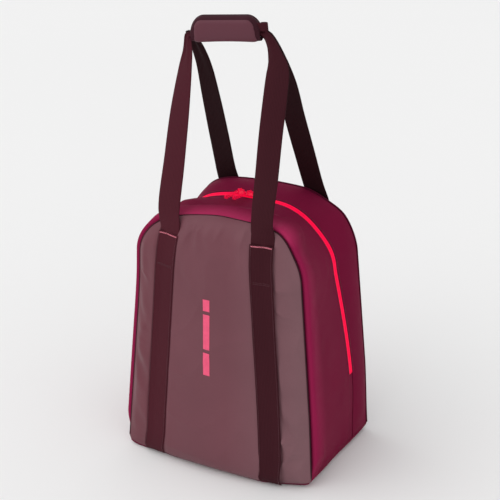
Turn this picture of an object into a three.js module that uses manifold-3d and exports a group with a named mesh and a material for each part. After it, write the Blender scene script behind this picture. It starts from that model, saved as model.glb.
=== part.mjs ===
// Ski boot bag: a domed soft bag on a flat base, with a bulged front panel, a gusset that wraps
// over the top, a zip over the dome, a rear section that folds back, and two webbing handles
// that close on each other in a padded grip.
//
// Millimetres. +Z up, the front faces -Y, the bag's right side is +X.
// Origin: the middle of the base, on the floor.
import * as THREE from 'three';
import { mergeVertices } from 'three/addons/utils/BufferGeometryUtils.js';
import Module from 'manifold-3d';

const wasm = await Module();
wasm.setup();

// ---- driving dimensions -------------------------------------------------------------------
const BASE_WIDTH = 330;
const BODY_DEPTH = 210;
const ZIP_Y = 48;                 // the zip lies in one plane that leans forwards with the back
const BACK_LEAN = -0.046;
const ZIP_END_HEIGHT = 138;       // the zip stops here on both sides; the rear section folds here
const BASE_CORNER = 14;
const FABRIC = 2;                 // outer fabric with its backing
const LINING = 1.2;
const FOAM = 4.4;
const GAP = 0.6;                  // between layers that lie on each other
const SEAM_GAP = 0.4;             // between edges that are sewn together
const FRONT_BULGE = 30;
const BACK_BULGE = 12;
const GUSSET_PUFF = 10;           // the gusset rolls outwards just behind the front seam
const REAR_PUFF = 4;
const WEBBING_WIDTH = 36;
const WEBBING = 2;
const PIPING_RADIUS = 2;
const CORD_SIDES = 6;

const FRONT_Y = -BODY_DEPTH / 2;
const BACK_Y = BODY_DEPTH / 2;
const GUSSET_FRONT = FRONT_Y + FABRIC + 2 * SEAM_GAP;
const GUSSET_BACK = BACK_Y - FABRIC - SEAM_GAP;
const ARCH_ARC_STEPS = 8;
const ARCH_SIDE_STEPS = 3;
const PANEL_COLUMNS = 10;
const GUSSET_STEPS = 3;
const ZIP_BAND = 7;               // half of the level band that the zip runs in
const TOP_SINK = 1.6;             // above 1 the top drops quickly behind the front seam
const ROLL_PLACE = 0.25;          // below 1 the gusset's roll is fullest close to the front seam
const BULGE_ROUND = 2.2;          // panel bulge across: 2 is round, more is boxier
const BULGE_SQUARE = 8;           // and along: it keeps its depth until close to the seams
const ROLL_STEPS = [0, 3, 9, 24]; // stations of the gusset's roll, behind the front seam
const ROLL_END = 52;

// Section of the dome at three places, front to back. The rest is blended between them.
const SECTIONS = [
  { y: FRONT_Y, height: 440, radius: 90, taper: 0.083, lean: 0.021, belly: 0 },
  { y: ZIP_Y, height: 416, radius: 100, taper: 0.108, lean: BACK_LEAN, belly: 8 },
  { y: BACK_Y, height: 421, radius: 98, taper: 0.072, lean: BACK_LEAN, belly: 0 },
];

// ---- colours ------------------------------------------------------------------------------
const TARPAULIN = { color: 0x6f4a50, roughness: 0.5, metalness: 0 };
const POLYESTER = { color: 0x651833, roughness: 0.8, metalness: 0 };
const WEBBING_FINISH = { color: 0x40242a, roughness: 0.85, metalness: 0 };
const BINDING = { color: 0x35161f, roughness: 0.8, metalness: 0 };
const LINING_FINISH = { color: 0x2b2b30, roughness: 0.85, metalness: 0 };
const FOAM_FINISH = { color: 0x8a8a8c, roughness: 0.95, metalness: 0 };
const BOARD_FINISH = { color: 0x202022, roughness: 0.5, metalness: 0 };
const ZIP_FINISH = { color: 0xd5123f, roughness: 0.6, metalness: 0 };
const COIL_FINISH = { color: 0xb80f36, roughness: 0.4, metalness: 0 };
const SLIDER_FINISH = { color: 0xc8123c, roughness: 0.35, metalness: 0.3 };
const RUBBER_FINISH = { color: 0xe0143f, roughness: 0.45, metalness: 0 };
const THREAD_FINISH = { color: 0xe88a9a, roughness: 0.7, metalness: 0 };
const VELCRO_FINISH = { color: 0x241318, roughness: 0.95, metalness: 0 };

const bag = new THREE.Group();

function addPart(name, geometry, finish) {
  const mesh = new THREE.Mesh(geometry, new THREE.MeshStandardMaterial(finish));
  mesh.name = name;
  bag.add(mesh);
}

// ---- geometry helpers ---------------------------------------------------------------------
function meshFrom(points, triangles) {
  const geometry = new THREE.BufferGeometry();
  const positions = points.flatMap((p) => [p.x, p.y, p.z]);
  geometry.setAttribute('position', new THREE.Float32BufferAttribute(positions, 3));
  geometry.setIndex(triangles.flat());
  geometry.computeVertexNormals();
  return facesOut(geometry);
}

// Turns the faces over if the closed mesh came out inside out.
function facesOut(geometry) {
  const index = geometry.index.array;
  const position = geometry.attributes.position;
  const corner = [new THREE.Vector3(), new THREE.Vector3(), new THREE.Vector3()];
  let volume = 0;
  for (let i = 0; i < index.length; i += 3) {
    corner.forEach((v, k) => v.fromBufferAttribute(position, index[i + k]));
    volume += corner[0].dot(corner[1].clone().cross(corner[2]));
  }
  if (volume < 0) {
    for (let i = 0; i < index.length; i += 3) [index[i], index[i + 1]] = [index[i + 1], index[i]];
  }
  return geometry;
}

// A closed sheet between two grids of points of the same size.
function sheet(outer, inner) {
  const rows = outer.length;
  const columns = outer[0].length;
  const points = [...outer.flat(), ...inner.flat()];
  const half = rows * columns;
  const out = (i, j) => i * columns + j;
  const back = (i, j) => half + i * columns + j;
  const triangles = [];
  const quad = (a, b, c, d) => triangles.push([a, b, c], [a, c, d]);
  for (let i = 0; i + 1 < rows; i += 1) {
    for (let j = 0; j + 1 < columns; j += 1) {
      quad(out(i, j), out(i + 1, j), out(i + 1, j + 1), out(i, j + 1));
      quad(back(i, j), back(i, j + 1), back(i + 1, j + 1), back(i + 1, j));
    }
    const last = columns - 1;
    quad(out(i, 0), back(i, 0), back(i + 1, 0), out(i + 1, 0));
    quad(out(i, last), out(i + 1, last), back(i + 1, last), back(i, last));
  }
  for (let j = 0; j + 1 < columns; j += 1) {
    const last = rows - 1;
    quad(out(0, j), out(0, j + 1), back(0, j + 1), back(0, j));
    quad(out(last, j), back(last, j), back(last, j + 1), out(last, j + 1));
  }
  return meshFrom(points, triangles);
}

// A closed body through a row of rings, each with the same number of corners.
function loft(rings) {
  const size = rings[0].length;
  const last = (rings.length - 1) * size;
  const triangles = [];
  for (let start = 0; start < last; start += size) {
    for (let k = 0; k < size; k += 1) {
      const next = (k + 1) % size;
      triangles.push([start + k, start + next, start + size + next]);
      triangles.push([start + k, start + size + next, start + size + k]);
    }
  }
  for (let k = 1; k + 1 < size; k += 1) {
    triangles.push([0, k + 1, k]);
    triangles.push([last, last + k, last + k + 1]);
  }
  return meshFrom(rings.flat(), triangles);
}

// A ring of points round a centre, in the plane of two directions.
function ringAt(centre, first, second, radius, sides) {
  return Array.from({ length: sides }, (_, k) => {
    const angle = (2 * Math.PI * k) / sides;
    return centre.clone()
      .addScaledVector(first, radius * Math.cos(angle)).addScaledVector(second, radius * Math.sin(angle));
  });
}

// A round cord along a path.
function cord(path, radius) {
  const directions = pathDirections(path);
  const steep = Math.abs(directions[0].y) > Math.SQRT1_2;
  let side = new THREE.Vector3(steep ? 1 : 0, steep ? 0 : 1, 0);
  const rings = path.map((point, i) => {
    side = side.clone().addScaledVector(directions[i], -side.dot(directions[i])).normalize();
    return ringAt(point, side, directions[i].clone().cross(side), radius, CORD_SIDES);
  });
  return loft(rings);
}

function pathDirections(path) {
  return path.map((_, i) => {
    const before = path[Math.max(i - 1, 0)];
    const after = path[Math.min(i + 1, path.length - 1)];
    return after.clone().sub(before).normalize();
  });
}

// Flat webbing along stations { at, facing, width, thick }; `facing` is the way its flat side looks.
function webbing(stations) {
  const directions = pathDirections(stations.map((s) => s.at));
  const rings = stations.map((s, i) => {
    const across = directions[i].clone().cross(s.facing).normalize();
    const normal = across.clone().cross(directions[i]).normalize();
    const corner = (u, v) =>
      s.at.clone().addScaledVector(across, (u * s.width) / 2).addScaledVector(normal, (v * s.thick) / 2);
    return [corner(-1, -1), corner(1, -1), corner(1, 1), corner(-1, 1)];
  });
  return loft(rings);
}

function box(sizeX, sizeY, sizeZ, x, y, z) {
  const geometry = new THREE.BoxGeometry(sizeX, sizeY, sizeZ);
  geometry.translate(x, y, z);
  return geometry;
}

// Joins closed geometries into one solid.
function joined(geometries) {
  const solids = geometries.map((geometry) => {
    const plain = geometry.clone();
    plain.deleteAttribute('normal');
    plain.deleteAttribute('uv');
    const merged = mergeVertices(plain);
    const vertProperties = new Float32Array(merged.attributes.position.array);
    const triVerts = new Uint32Array(merged.index.array);
    return new wasm.Manifold(new wasm.Mesh({ numProp: 3, vertProperties, triVerts }));
  });
  const mesh = solids.reduce((whole, next) => whole.add(next)).getMesh();
  const result = new THREE.BufferGeometry();
  result.setAttribute('position', new THREE.BufferAttribute(new Float32Array(mesh.vertProperties), 3));
  result.setIndex(Array.from(mesh.triVerts));
  result.computeVertexNormals();
  return result;
}

// ---- the dome -----------------------------------------------------------------------------
function sectionAt(y) {
  const [front, middle, back] = SECTIONS;
  const before = y <= middle.y;
  const from = before ? front : middle;
  const to = before ? middle : back;
  const start = before ? front.y : middle.y + ZIP_BAND;
  const end = before ? middle.y - ZIP_BAND : back.y;
  const t = THREE.MathUtils.clamp((y - start) / (end - start), 0, 1);
  const seam = THREE.MathUtils.clamp((y - GUSSET_FRONT) / (end - GUSSET_FRONT), 0, 1);
  const sink = before ? 1 - (1 - t) ** TOP_SINK : t;
  const roll = GUSSET_PUFF * Math.sin(Math.PI * seam ** ROLL_PLACE);
  const puff = before ? roll : REAR_PUFF * Math.sin(Math.PI * t);
  return {
    height: THREE.MathUtils.lerp(from.height, to.height, sink),
    radius: THREE.MathUtils.lerp(from.radius, to.radius, t),
    taper: THREE.MathUtils.lerp(from.taper, to.taper, t),
    lean: THREE.MathUtils.lerp(from.lean, to.lean, t),
    belly: THREE.MathUtils.lerp(from.belly, to.belly, t),
    puff,
  };
}

function cornerOf(section) {
  const slope = Math.hypot(1, section.taper);
  const z = section.height - section.radius;
  return { x: BASE_WIDTH / 2 - section.taper * z - section.radius * slope, z };
}

// Half width of a dome section at a height, `inset` inside its outline.
function halfWidth(section, z, inset) {
  const corner = cornerOf(section);
  const tilt = Math.atan(section.taper);
  const radius = section.radius - inset;
  if (z > corner.z + radius * Math.sin(tilt)) {
    return corner.x + Math.sqrt(Math.max(radius ** 2 - (z - corner.z) ** 2, 0));
  }
  const level = Math.max(z, BASE_CORNER);
  const belly = section.belly * Math.sin((Math.PI * Math.min(level, corner.z)) / corner.z);
  const side = BASE_WIDTH / 2 - section.taper * level + belly - inset * Math.hypot(1, section.taper);
  if (z >= BASE_CORNER) return side;
  const base = BASE_CORNER - inset;
  return side - base + Math.sqrt(Math.max(base ** 2 - (BASE_CORNER - z) ** 2, 0));
}

// Puff fades in above the base corner.
function puffFade(z) {
  return THREE.MathUtils.smoothstep(z, BASE_CORNER, 4 * BASE_CORNER);
}

// Half of the arch, from `fromZ` on the side to the middle of the top, as {x, z}.
function halfArch(y, inset, fromZ) {
  const section = sectionAt(y);
  const corner = cornerOf(section);
  const tilt = Math.atan(section.taper);
  const radius = section.radius + section.puff - inset;
  const arcStart = corner.z + section.radius * Math.sin(tilt);
  const points = [];
  for (let i = 0; i < ARCH_SIDE_STEPS; i += 1) {
    const z = THREE.MathUtils.lerp(fromZ, arcStart, i / ARCH_SIDE_STEPS);
    points.push({ x: halfWidth(section, z, inset - section.puff * puffFade(z)), z });
  }
  for (let i = 0; i <= ARCH_ARC_STEPS; i += 1) {
    const a = THREE.MathUtils.lerp(tilt, Math.PI / 2, i / ARCH_ARC_STEPS);
    points.push({ x: corner.x + radius * Math.cos(a), z: corner.z + radius * Math.sin(a) });
  }
  return points;
}

function arch(y, inset, fromZ) {
  const right = halfArch(y, inset, fromZ);
  const left = right.map((p) => ({ x: -p.x, z: p.z }));
  return [...right, ...left.reverse()];
}

// The base in section: down round one base corner, under the base and up round the other.
function cradle(y, inset) {
  const section = sectionAt(y);
  const levels = [1, 0.65, 0.35, 0.12, 0].map((t) => THREE.MathUtils.lerp(inset, BASE_CORNER, t));
  const right = levels.map((z) => ({ x: halfWidth(section, z, inset), z }));
  const left = right.map((p) => ({ x: -p.x, z: p.z }));
  return [...right, ...left.reverse()];
}

function leaned(x, y, z) {
  return new THREE.Vector3(x, y + z * sectionAt(y).lean, z);
}

// Stations over the depth of a gusset, close together where it rolls out of the front seam.
function gussetStations(fromY, toY) {
  if (fromY > 0) return stationsBetween(fromY, toY, GUSSET_STEPS);
  const rolled = ROLL_STEPS.map((step) => fromY + step);
  return [...rolled, ...stationsBetween(fromY + ROLL_END, toY, GUSSET_STEPS)];
}

function stationsBetween(from, to, steps) {
  return Array.from({ length: steps + 1 }, (_, i) => THREE.MathUtils.lerp(from, to, i / steps));
}

// A layer over the dome, between two outlines, through stations over the depth.
function archLayer(stations, outerInset, thickness, fromZ) {
  const grid = (inset) => stations.map((y) => arch(y, inset, fromZ).map((p) => leaned(p.x, y, p.z)));
  return sheet(grid(outerInset), grid(outerInset + thickness));
}

function cradleLayer(fromY, toY, steps, outerInset, thickness) {
  const grid = (inset) =>
    stationsBetween(fromY, toY, steps).map((y) => cradle(y, inset).map((p) => leaned(p.x, y, p.z)));
  return sheet(grid(outerInset), grid(outerInset + thickness));
}

// A gusset layer on one side only, between two heights.
function sideLayer(side, fromY, toY, steps, fromZ, toZ) {
  const grid = (inset) =>
    stationsBetween(fromY, toY, steps).map((y) => {
      const section = sectionAt(y);
      return stationsBetween(fromZ, toZ, GUSSET_STEPS).map((z) => {
        const x = halfWidth(section, z, inset - section.puff * puffFade(z));
        return leaned(side * x, y, z);
      });
    });
  return sheet(grid(0), grid(FABRIC));
}

// Outward bulge of a panel. `across` and `along` run from 0 in its middle to 1 at its seam.
function bulge(most, across, along) {
  return most * (1 - Math.min(across, 1) ** BULGE_ROUND) * Math.sqrt(1 - Math.min(along, 1) ** BULGE_SQUARE);
}

const ROW_APART = 3;

// Heights of the rows of a panel, close together where the outline is round.
function panelRows(section, inset, fromZ, toZ) {
  const corner = cornerOf(section);
  const low = [0, 0.1, 0.45, 1].map((t) => inset + t * (BASE_CORNER - inset));
  const high = [0.08, 0.34, 0.6, 0.82, 0.96, 1].map((t) => corner.z + t * (section.radius - inset));
  const middle = stationsBetween(BASE_CORNER, corner.z, 5).slice(1, -1);
  const rows = [...low, ...middle, ...high].filter((z) => z > fromZ + ROW_APART && z < toZ - ROW_APART);
  return [Math.max(fromZ, inset), ...rows, Math.min(toZ, section.height - inset)];
}

// One layer of the front (direction -1) or back (+1) panel. `depth` is how far behind the
// outer face the layer starts, `inset` how far inside the seam its edge stays.
function panelLayer(direction, depth, thickness, inset, fromZ, toZ) {
  const y = direction * (BODY_DEPTH / 2);
  const section = sectionAt(y);
  const most = direction < 0 ? FRONT_BULGE : BACK_BULGE;
  const columns = stationsBetween(-1, 1, PANEL_COLUMNS);
  const grid = (extra) =>
    panelRows(section, inset, fromZ, toZ).map((z) =>
      columns.map((u) => {
        const x = u * halfWidth(section, z, inset);
        const along = Math.abs(2 * z - section.height) / (section.height - 2 * inset);
        const out = bulge(most, Math.abs(u), along) - depth - extra;
        return new THREE.Vector3(x, y + direction * out + z * section.lean, z);
      }));
  return sheet(grid(0), grid(thickness));
}

// The outer face of the front or back panel at a point.
function panelSurface(direction, x, z) {
  const y = direction * (BODY_DEPTH / 2);
  const section = sectionAt(y);
  const most = direction < 0 ? FRONT_BULGE : BACK_BULGE;
  const across = Math.abs(x) / halfWidth(section, THREE.MathUtils.clamp(z, 1, section.height - 1), 0);
  const along = Math.abs((2 * z) / section.height - 1);
  return y + direction * bulge(most, across, along) + z * section.lean;
}

// ---- base ---------------------------------------------------------------------------------
const BOARD_DEPTH = 190;
const BOARD_WIDTH = 276;
const BOARD = 1.6;
const BASE_STEPS = 4;

function buildBase() {
  const boardZ = FABRIC + SEAM_GAP + BOARD / 2;
  const liningZ = boardZ + BOARD / 2 + SEAM_GAP + LINING / 2;
  addPart('base_panel', cradleLayer(GUSSET_FRONT, GUSSET_BACK, BASE_STEPS, 0, FABRIC), POLYESTER);
  addPart('base_stiffener_board', box(BOARD_WIDTH, BOARD_DEPTH, BOARD, 0, 0, boardZ), BOARD_FINISH);
  addPart('base_lining', box(BOARD_WIDTH, BOARD_DEPTH, LINING, 0, 0, liningZ), LINING_FINISH);
}

// ---- front and back panels -----------------------------------------------------------------
const FOAM_DEPTH = FABRIC + GAP;
const PANEL_LINING_DEPTH = FOAM_DEPTH + FOAM + GAP;
const FOAM_INSET = FABRIC + GAP + LINING + 3 * GAP;
const TOP = 1000;                 // above everything

function buildPanels() {
  addPart('front_panel', panelLayer(-1, 0, FABRIC, 0, 0, TOP), TARPAULIN);
  addPart('front_foam_pad', panelLayer(-1, FOAM_DEPTH, FOAM, FOAM_INSET, 0, TOP), FOAM_FINISH);
  addPart('front_lining', panelLayer(-1, PANEL_LINING_DEPTH, LINING, FOAM_INSET, 0, TOP), LINING_FINISH);
  const halves = [['lower', 0, ZIP_END_HEIGHT - SEAM_GAP / 2], ['upper', ZIP_END_HEIGHT + SEAM_GAP / 2, TOP]];
  for (const [half, fromZ, toZ] of halves) {
    addPart(`back_panel_${half}`, panelLayer(1, 0, FABRIC, 0, fromZ, toZ), POLYESTER);
    addPart(`back_foam_pad_${half}`, panelLayer(1, FOAM_DEPTH, FOAM, FOAM_INSET, fromZ, toZ), FOAM_FINISH);
    const lining = panelLayer(1, PANEL_LINING_DEPTH, LINING, FOAM_INSET, fromZ, toZ);
    addPart(`back_lining_${half}`, lining, LINING_FINISH);
  }
}

// ---- gussets and their linings --------------------------------------------------------------
const TAPE_WIDTH = 5.6;           // the part of each zip tape that shows
const ZIP_SLOT = 1.6;             // between the two coils, where the slider's web runs
const TAPE_FRONT = ZIP_Y - ZIP_SLOT / 2 - TAPE_WIDTH;
const TAPE_BACK = ZIP_Y + ZIP_SLOT / 2 + TAPE_WIDTH;
const LINING_DEPTH = FABRIC + GAP;

function buildGussets() {
  const frontEdge = TAPE_FRONT - SEAM_GAP;
  const rearEdge = TAPE_BACK + SEAM_GAP;
  const low = BASE_CORNER + SEAM_GAP;
  const high = ZIP_END_HEIGHT + SEAM_GAP / 2;
  const lowTop = ZIP_END_HEIGHT - SEAM_GAP / 2;
  const front = gussetStations(GUSSET_FRONT, frontEdge);
  const rear = gussetStations(rearEdge, GUSSET_BACK);
  addPart('front_gusset', archLayer(front, 0, FABRIC, low), POLYESTER);
  addPart('front_gusset_lining', archLayer(front, LINING_DEPTH, LINING, low), LINING_FINISH);
  addPart('rear_gusset_upper', archLayer(rear, 0, FABRIC, high), POLYESTER);
  addPart('rear_gusset_lining', archLayer(rear, LINING_DEPTH, LINING, high), LINING_FINISH);
  for (const [name, side] of [['left', -1], ['right', 1]]) {
    const lower = sideLayer(side, rearEdge, GUSSET_BACK, GUSSET_STEPS, low, lowTop);
    addPart(`rear_gusset_lower_${name}`, lower, POLYESTER);
    const tab = sideLayer(side, TAPE_FRONT, TAPE_BACK, 1, low, lowTop);
    addPart(`zip_end_tab_${name}`, tab, POLYESTER);
  }
}

// ---- piping on the seams ---------------------------------------------------------------------
function pipingPath(y, points) {
  return points.map((p) => leaned(p.x, y, p.z));
}

function buildPiping() {
  const out = -(PIPING_RADIUS + SEAM_GAP);
  const front = arch(FRONT_Y, out, BASE_CORNER);
  addPart('front_piping', cord(pipingPath(FRONT_Y, front), PIPING_RADIUS), BINDING);
  const rear = arch(BACK_Y, out, ZIP_END_HEIGHT + SEAM_GAP);
  addPart('rear_piping', cord(pipingPath(BACK_Y, rear), PIPING_RADIUS), BINDING);
}

// ---- zip --------------------------------------------------------------------------------------
const TAPE = 1.2;
const TAPE_INSET = 0.2;
const COIL = 2;
const COIL_WIDTH = 2.7;

function buildZip() {
  const fromZ = ZIP_END_HEIGHT + SEAM_GAP / 2;
  const coilInset = TAPE_INSET + TAPE + SEAM_GAP;
  const frontInner = ZIP_Y - ZIP_SLOT / 2;
  const rearInner = ZIP_Y + ZIP_SLOT / 2;
  addPart('zip_tape_front', archLayer([TAPE_FRONT, frontInner], TAPE_INSET, TAPE, fromZ), ZIP_FINISH);
  const frontCoil = archLayer([frontInner - COIL_WIDTH, frontInner], coilInset, COIL, fromZ);
  addPart('zip_coil_front', frontCoil, COIL_FINISH);
  addPart('zip_tape_rear', archLayer([rearInner, TAPE_BACK], TAPE_INSET, TAPE, fromZ), ZIP_FINISH);
  const rearCoil = archLayer([rearInner, rearInner + COIL_WIDTH], coilInset, COIL, fromZ);
  addPart('zip_coil_rear', rearCoil, COIL_FINISH);
}

// ---- sliders and pulls ---------------------------------------------------------------------------
const ZIP_SECTION = sectionAt(ZIP_Y);
const ZIP_TOP = ZIP_SECTION.height;
const SLIDER_LENGTH = 14;
const SLIDER_WIDTH = 10;
const PLATE = 1.6;
const PLATE_LIFT = 1.4;           // the top plate runs clear of the tapes
const PLATE_CLEARANCE = 1;        // and the bottom plate clear of the coils
const WEB = 0.8;
const BAIL_RISE = 3.4;            // the opening under the bail
const BAIL = 1.6;
const BAIL_LENGTH = 11;
const PULL_CORD_RADIUS = 0.9;
const PULL_END_RADIUS = 3.6;
const PULL_END_LENGTH = 26;
const PULL_LIFT = 14;             // the moulded ends' tips lie this far above the zip
const CORD_APART = 1.3;           // half of the gap between the cord's two runs where they enter the end
const LOOP_STEPS = 6;
const END_SIDES = 10;
// The moulded end's radius along its length, both as fractions.
const END_SWELL = [[0, 0.62], [0.12, 0.9], [0.4, 1], [0.6, 0.92], [0.85, 1], [0.96, 0.75], [1, 0.35]];
const BAIL_Z = ZIP_TOP + PLATE_LIFT + PLATE + BAIL_RISE + BAIL / 2;
const SLIDER_Y = ZIP_Y + BACK_LEAN * ZIP_TOP;
const SLIDER_X = { left: -cornerOf(ZIP_SECTION).x, right: -14 };

// Two plates, the web between them that runs in the slot of the coils, and an arched bail.
function sliderGeometry(x) {
  const top = ZIP_TOP + PLATE_LIFT + PLATE / 2;
  const bottom = ZIP_TOP - TAPE_INSET - TAPE - SEAM_GAP - COIL - PLATE_CLEARANCE - PLATE / 2;
  const postX = (BAIL_LENGTH - BAIL) / 2;
  const postZ = top + PLATE / 2 + BAIL_RISE / 2;
  return joined([
    box(SLIDER_LENGTH, SLIDER_WIDTH, PLATE, x, SLIDER_Y, top),
    box(SLIDER_LENGTH / 2, WEB, top - bottom, x, SLIDER_Y, (top + bottom) / 2),
    box(SLIDER_LENGTH, SLIDER_WIDTH, PLATE, x, SLIDER_Y, bottom),
    box(BAIL, BAIL, BAIL_RISE + BAIL, x - postX, SLIDER_Y, postZ),
    box(BAIL, BAIL, BAIL_RISE + BAIL, x + postX, SLIDER_Y, postZ),
    box(BAIL_LENGTH, BAIL, BAIL, x, SLIDER_Y, BAIL_Z),
  ]);
}

// The pull cord goes round the bail and both ends run forwards into the moulded end.
function buildPull(side, x, tip) {
  const round = BAIL / 2 + SEAM_GAP + PULL_CORD_RADIUS;
  const start = new THREE.Vector3(x, SLIDER_Y, BAIL_Z);
  const forward = tip.clone().sub(start);
  const reach = forward.length() - PULL_END_LENGTH;
  forward.normalize();
  const up = new THREE.Vector3(0, 0, 1).addScaledVector(forward, -forward.z).normalize();
  const place = (along, height) => start.clone().addScaledVector(forward, along).addScaledVector(up, height);
  const loop = [place(reach - SEAM_GAP, CORD_APART), place(reach / 2, round)];
  for (let i = 0; i <= LOOP_STEPS; i += 1) {
    const angle = Math.PI / 2 + (Math.PI * i) / LOOP_STEPS;
    loop.push(place(round * Math.cos(angle), round * Math.sin(angle)));
  }
  loop.push(place(reach / 2, -round), place(reach - SEAM_GAP, -CORD_APART));
  addPart(`pull_cord_${side}`, cord(loop, PULL_CORD_RADIUS), ZIP_FINISH);
  const sideways = forward.clone().cross(up);
  const rings = END_SWELL.map(([along, swell]) =>
    ringAt(place(reach + along * PULL_END_LENGTH, 0), sideways, up, swell * PULL_END_RADIUS, END_SIDES));
  addPart(`pull_end_${side}`, loft(rings), RUBBER_FINISH);
}

function buildSliders() {
  addPart('slider_left', sliderGeometry(SLIDER_X.left), SLIDER_FINISH);
  addPart('slider_right', sliderGeometry(SLIDER_X.right), SLIDER_FINISH);
  buildPull('left', SLIDER_X.left, new THREE.Vector3(-33, -19, ZIP_TOP + PULL_LIFT));
  buildPull('right', SLIDER_X.right, new THREE.Vector3(-21, -16, ZIP_TOP + PULL_LIFT));
}

// ---- webbing sewn to the panels ---------------------------------------------------------------
const STRAP_SPREAD_BASE = 106;    // from between two straps to a strap's centre, at the base
const STRAP_SPREAD_TOP = 78;      // and at the front stitch line
const STRAP_SHIFT = { front: -0.5, rear: -6 };  // the middle between the two straps
const STITCH_Z = { front: 414, rear: 386 };
const TACK = 0.6;
const TACK_HEIGHT = 1.6;
const TACK_WIDTH = WEBBING_WIDTH - 4;
const TACK_BELOW = 2;             // below the end of the sewn strap
const HEM_Z = 2;                  // the sewn straps start here, at the base seam
const ACROSS_STRAP = [-0.5, -0.17, 0.17, 0.5];

function strapCentre(direction, side, z) {
  const shift = direction < 0 ? STRAP_SHIFT.front : STRAP_SHIFT.rear;
  return shift + side * THREE.MathUtils.lerp(STRAP_SPREAD_BASE, STRAP_SPREAD_TOP, z / STITCH_Z.front);
}

// A flat strip that follows the panel under it.
function stripOnPanel(direction, side, width, lift, thickness, fromZ, toZ) {
  const section = sectionAt(direction * (BODY_DEPTH / 2));
  const rows = panelRows(section, 0, fromZ, toZ);
  const grid = (extra) =>
    rows.map((z) =>
      ACROSS_STRAP.map((u) => {
        const x = strapCentre(direction, side, z) + u * width;
        return new THREE.Vector3(x, panelSurface(direction, x, z) + direction * (lift + extra), z);
      }));
  return sheet(grid(thickness), grid(0));
}

// The bar tack that holds the end of a sewn strap.
function tackOnStrap(direction, side, strapTop) {
  const lift = GAP + WEBBING + SEAM_GAP / 2;
  const top = strapTop - TACK_BELOW;
  return stripOnPanel(direction, side, TACK_WIDTH, lift, TACK, top - TACK_HEIGHT, top);
}

function sewnStrap(direction, side, fromZ, toZ) {
  return stripOnPanel(direction, side, WEBBING_WIDTH, GAP, WEBBING, fromZ, toZ);
}

function buildSewnStraps() {
  const foldBelow = ZIP_END_HEIGHT - SEAM_GAP / 2;
  const foldAbove = ZIP_END_HEIGHT + SEAM_GAP / 2;
  for (const [name, side] of [['left', -1], ['right', 1]]) {
    addPart(`front_strap_${name}`, sewnStrap(-1, side, HEM_Z, STITCH_Z.front), WEBBING_FINISH);
    addPart(`front_bar_tack_${name}`, tackOnStrap(-1, side, STITCH_Z.front), THREAD_FINISH);
    addPart(`rear_strap_lower_${name}`, sewnStrap(1, side, HEM_Z, foldBelow), WEBBING_FINISH);
    addPart(`rear_strap_upper_${name}`, sewnStrap(1, side, foldAbove, STITCH_Z.rear), WEBBING_FINISH);
    addPart(`rear_bar_tack_${name}`, tackOnStrap(1, side, STITCH_Z.rear), THREAD_FINISH);
  }
}

// ---- the grip ---------------------------------------------------------------------------------
const GRIP_CENTRE = new THREE.Vector3(-29, -20, 706);
const GRIP_LENGTH = 106;
const GRIP_HEIGHT = 40;
const GRIP_THICKNESS = 25;
const GRIP_YAW = THREE.MathUtils.degToRad(12);
const GRIP_RISE = THREE.MathUtils.degToRad(6);
const GRIP_WALL = 1.6;
const GRIP_PARTING = 0.4;         // half of the gap between the two halves
const RUN_WIDTH = WEBBING_WIDTH / 2;  // inside the grip the webbing is folded in half along its length
const RUN_THICK = 4;
const RUN_OFFSET = GRIP_PARTING + SEAM_GAP + RUN_THICK / 2;
const PAD_START = GRIP_PARTING + 2 * SEAM_GAP + RUN_THICK + GAP;
const STRIP_WIDTH = 5;
const GRIP_FULL = 0.7;            // the section is full over this fraction of the length
const GRIP_CLOSE = 0.7;           // and closes in by this much towards the ends
const GRIP_SQUARE = 0.8;          // below 1 the section is boxier than an ellipse
const OUTLINE_STEPS = 10;
const PATCH_LIFT = SEAM_GAP;
const PATCH_THICK = 1;
const PATCH_END = 0.9;            // the patch stops at this fraction of the length

const gripAlong = new THREE.Vector3(
  Math.cos(GRIP_RISE) * Math.cos(GRIP_YAW), Math.cos(GRIP_RISE) * Math.sin(GRIP_YAW), Math.sin(GRIP_RISE));
const gripFront = new THREE.Vector3(Math.sin(GRIP_YAW), -Math.cos(GRIP_YAW), 0);
const gripUp = gripFront.clone().cross(gripAlong).negate();
if (gripUp.z < 0) gripUp.negate();

// A point of the grip: along it, out from its middle plane (front +), and up.
function gripPoint(along, out, up) {
  return GRIP_CENTRE.clone()
    .addScaledVector(gripAlong, along).addScaledVector(gripFront, out).addScaledVector(gripUp, up);
}

// How far the section has closed in towards the grip's ends, 1 in the middle.
function gripEndScale(t) {
  const past = Math.max(Math.abs(t) - GRIP_FULL, 0) / (1 - GRIP_FULL);
  return Math.sqrt(1 - (GRIP_CLOSE * past) ** 2);
}

// Half of the grip's rounded outline, from its top edge round the outside to its bottom edge.
function gripHalfOutline(direction, t, inset, fromOut) {
  const scale = gripEndScale(t);
  const height = (GRIP_HEIGHT / 2) * scale - inset;
  const out = (GRIP_THICKNESS / 2) * Math.sqrt(scale) - inset;
  const start = Math.asin(Math.min(fromOut / out, 1) ** (1 / GRIP_SQUARE));
  return stationsBetween(start, Math.PI - start, OUTLINE_STEPS).map((angle) => {
    const c = Math.cos(angle);
    const outward = direction * out * Math.sin(angle) ** GRIP_SQUARE;
    return gripPoint((t * GRIP_LENGTH) / 2, outward, height * Math.sign(c) * Math.abs(c) ** GRIP_SQUARE);
  });
}

const GRIP_STATIONS = [-1, -0.93, -0.82, -0.7, -0.35, 0, 0.35, 0.7, 0.82, 0.93, 1];

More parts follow.
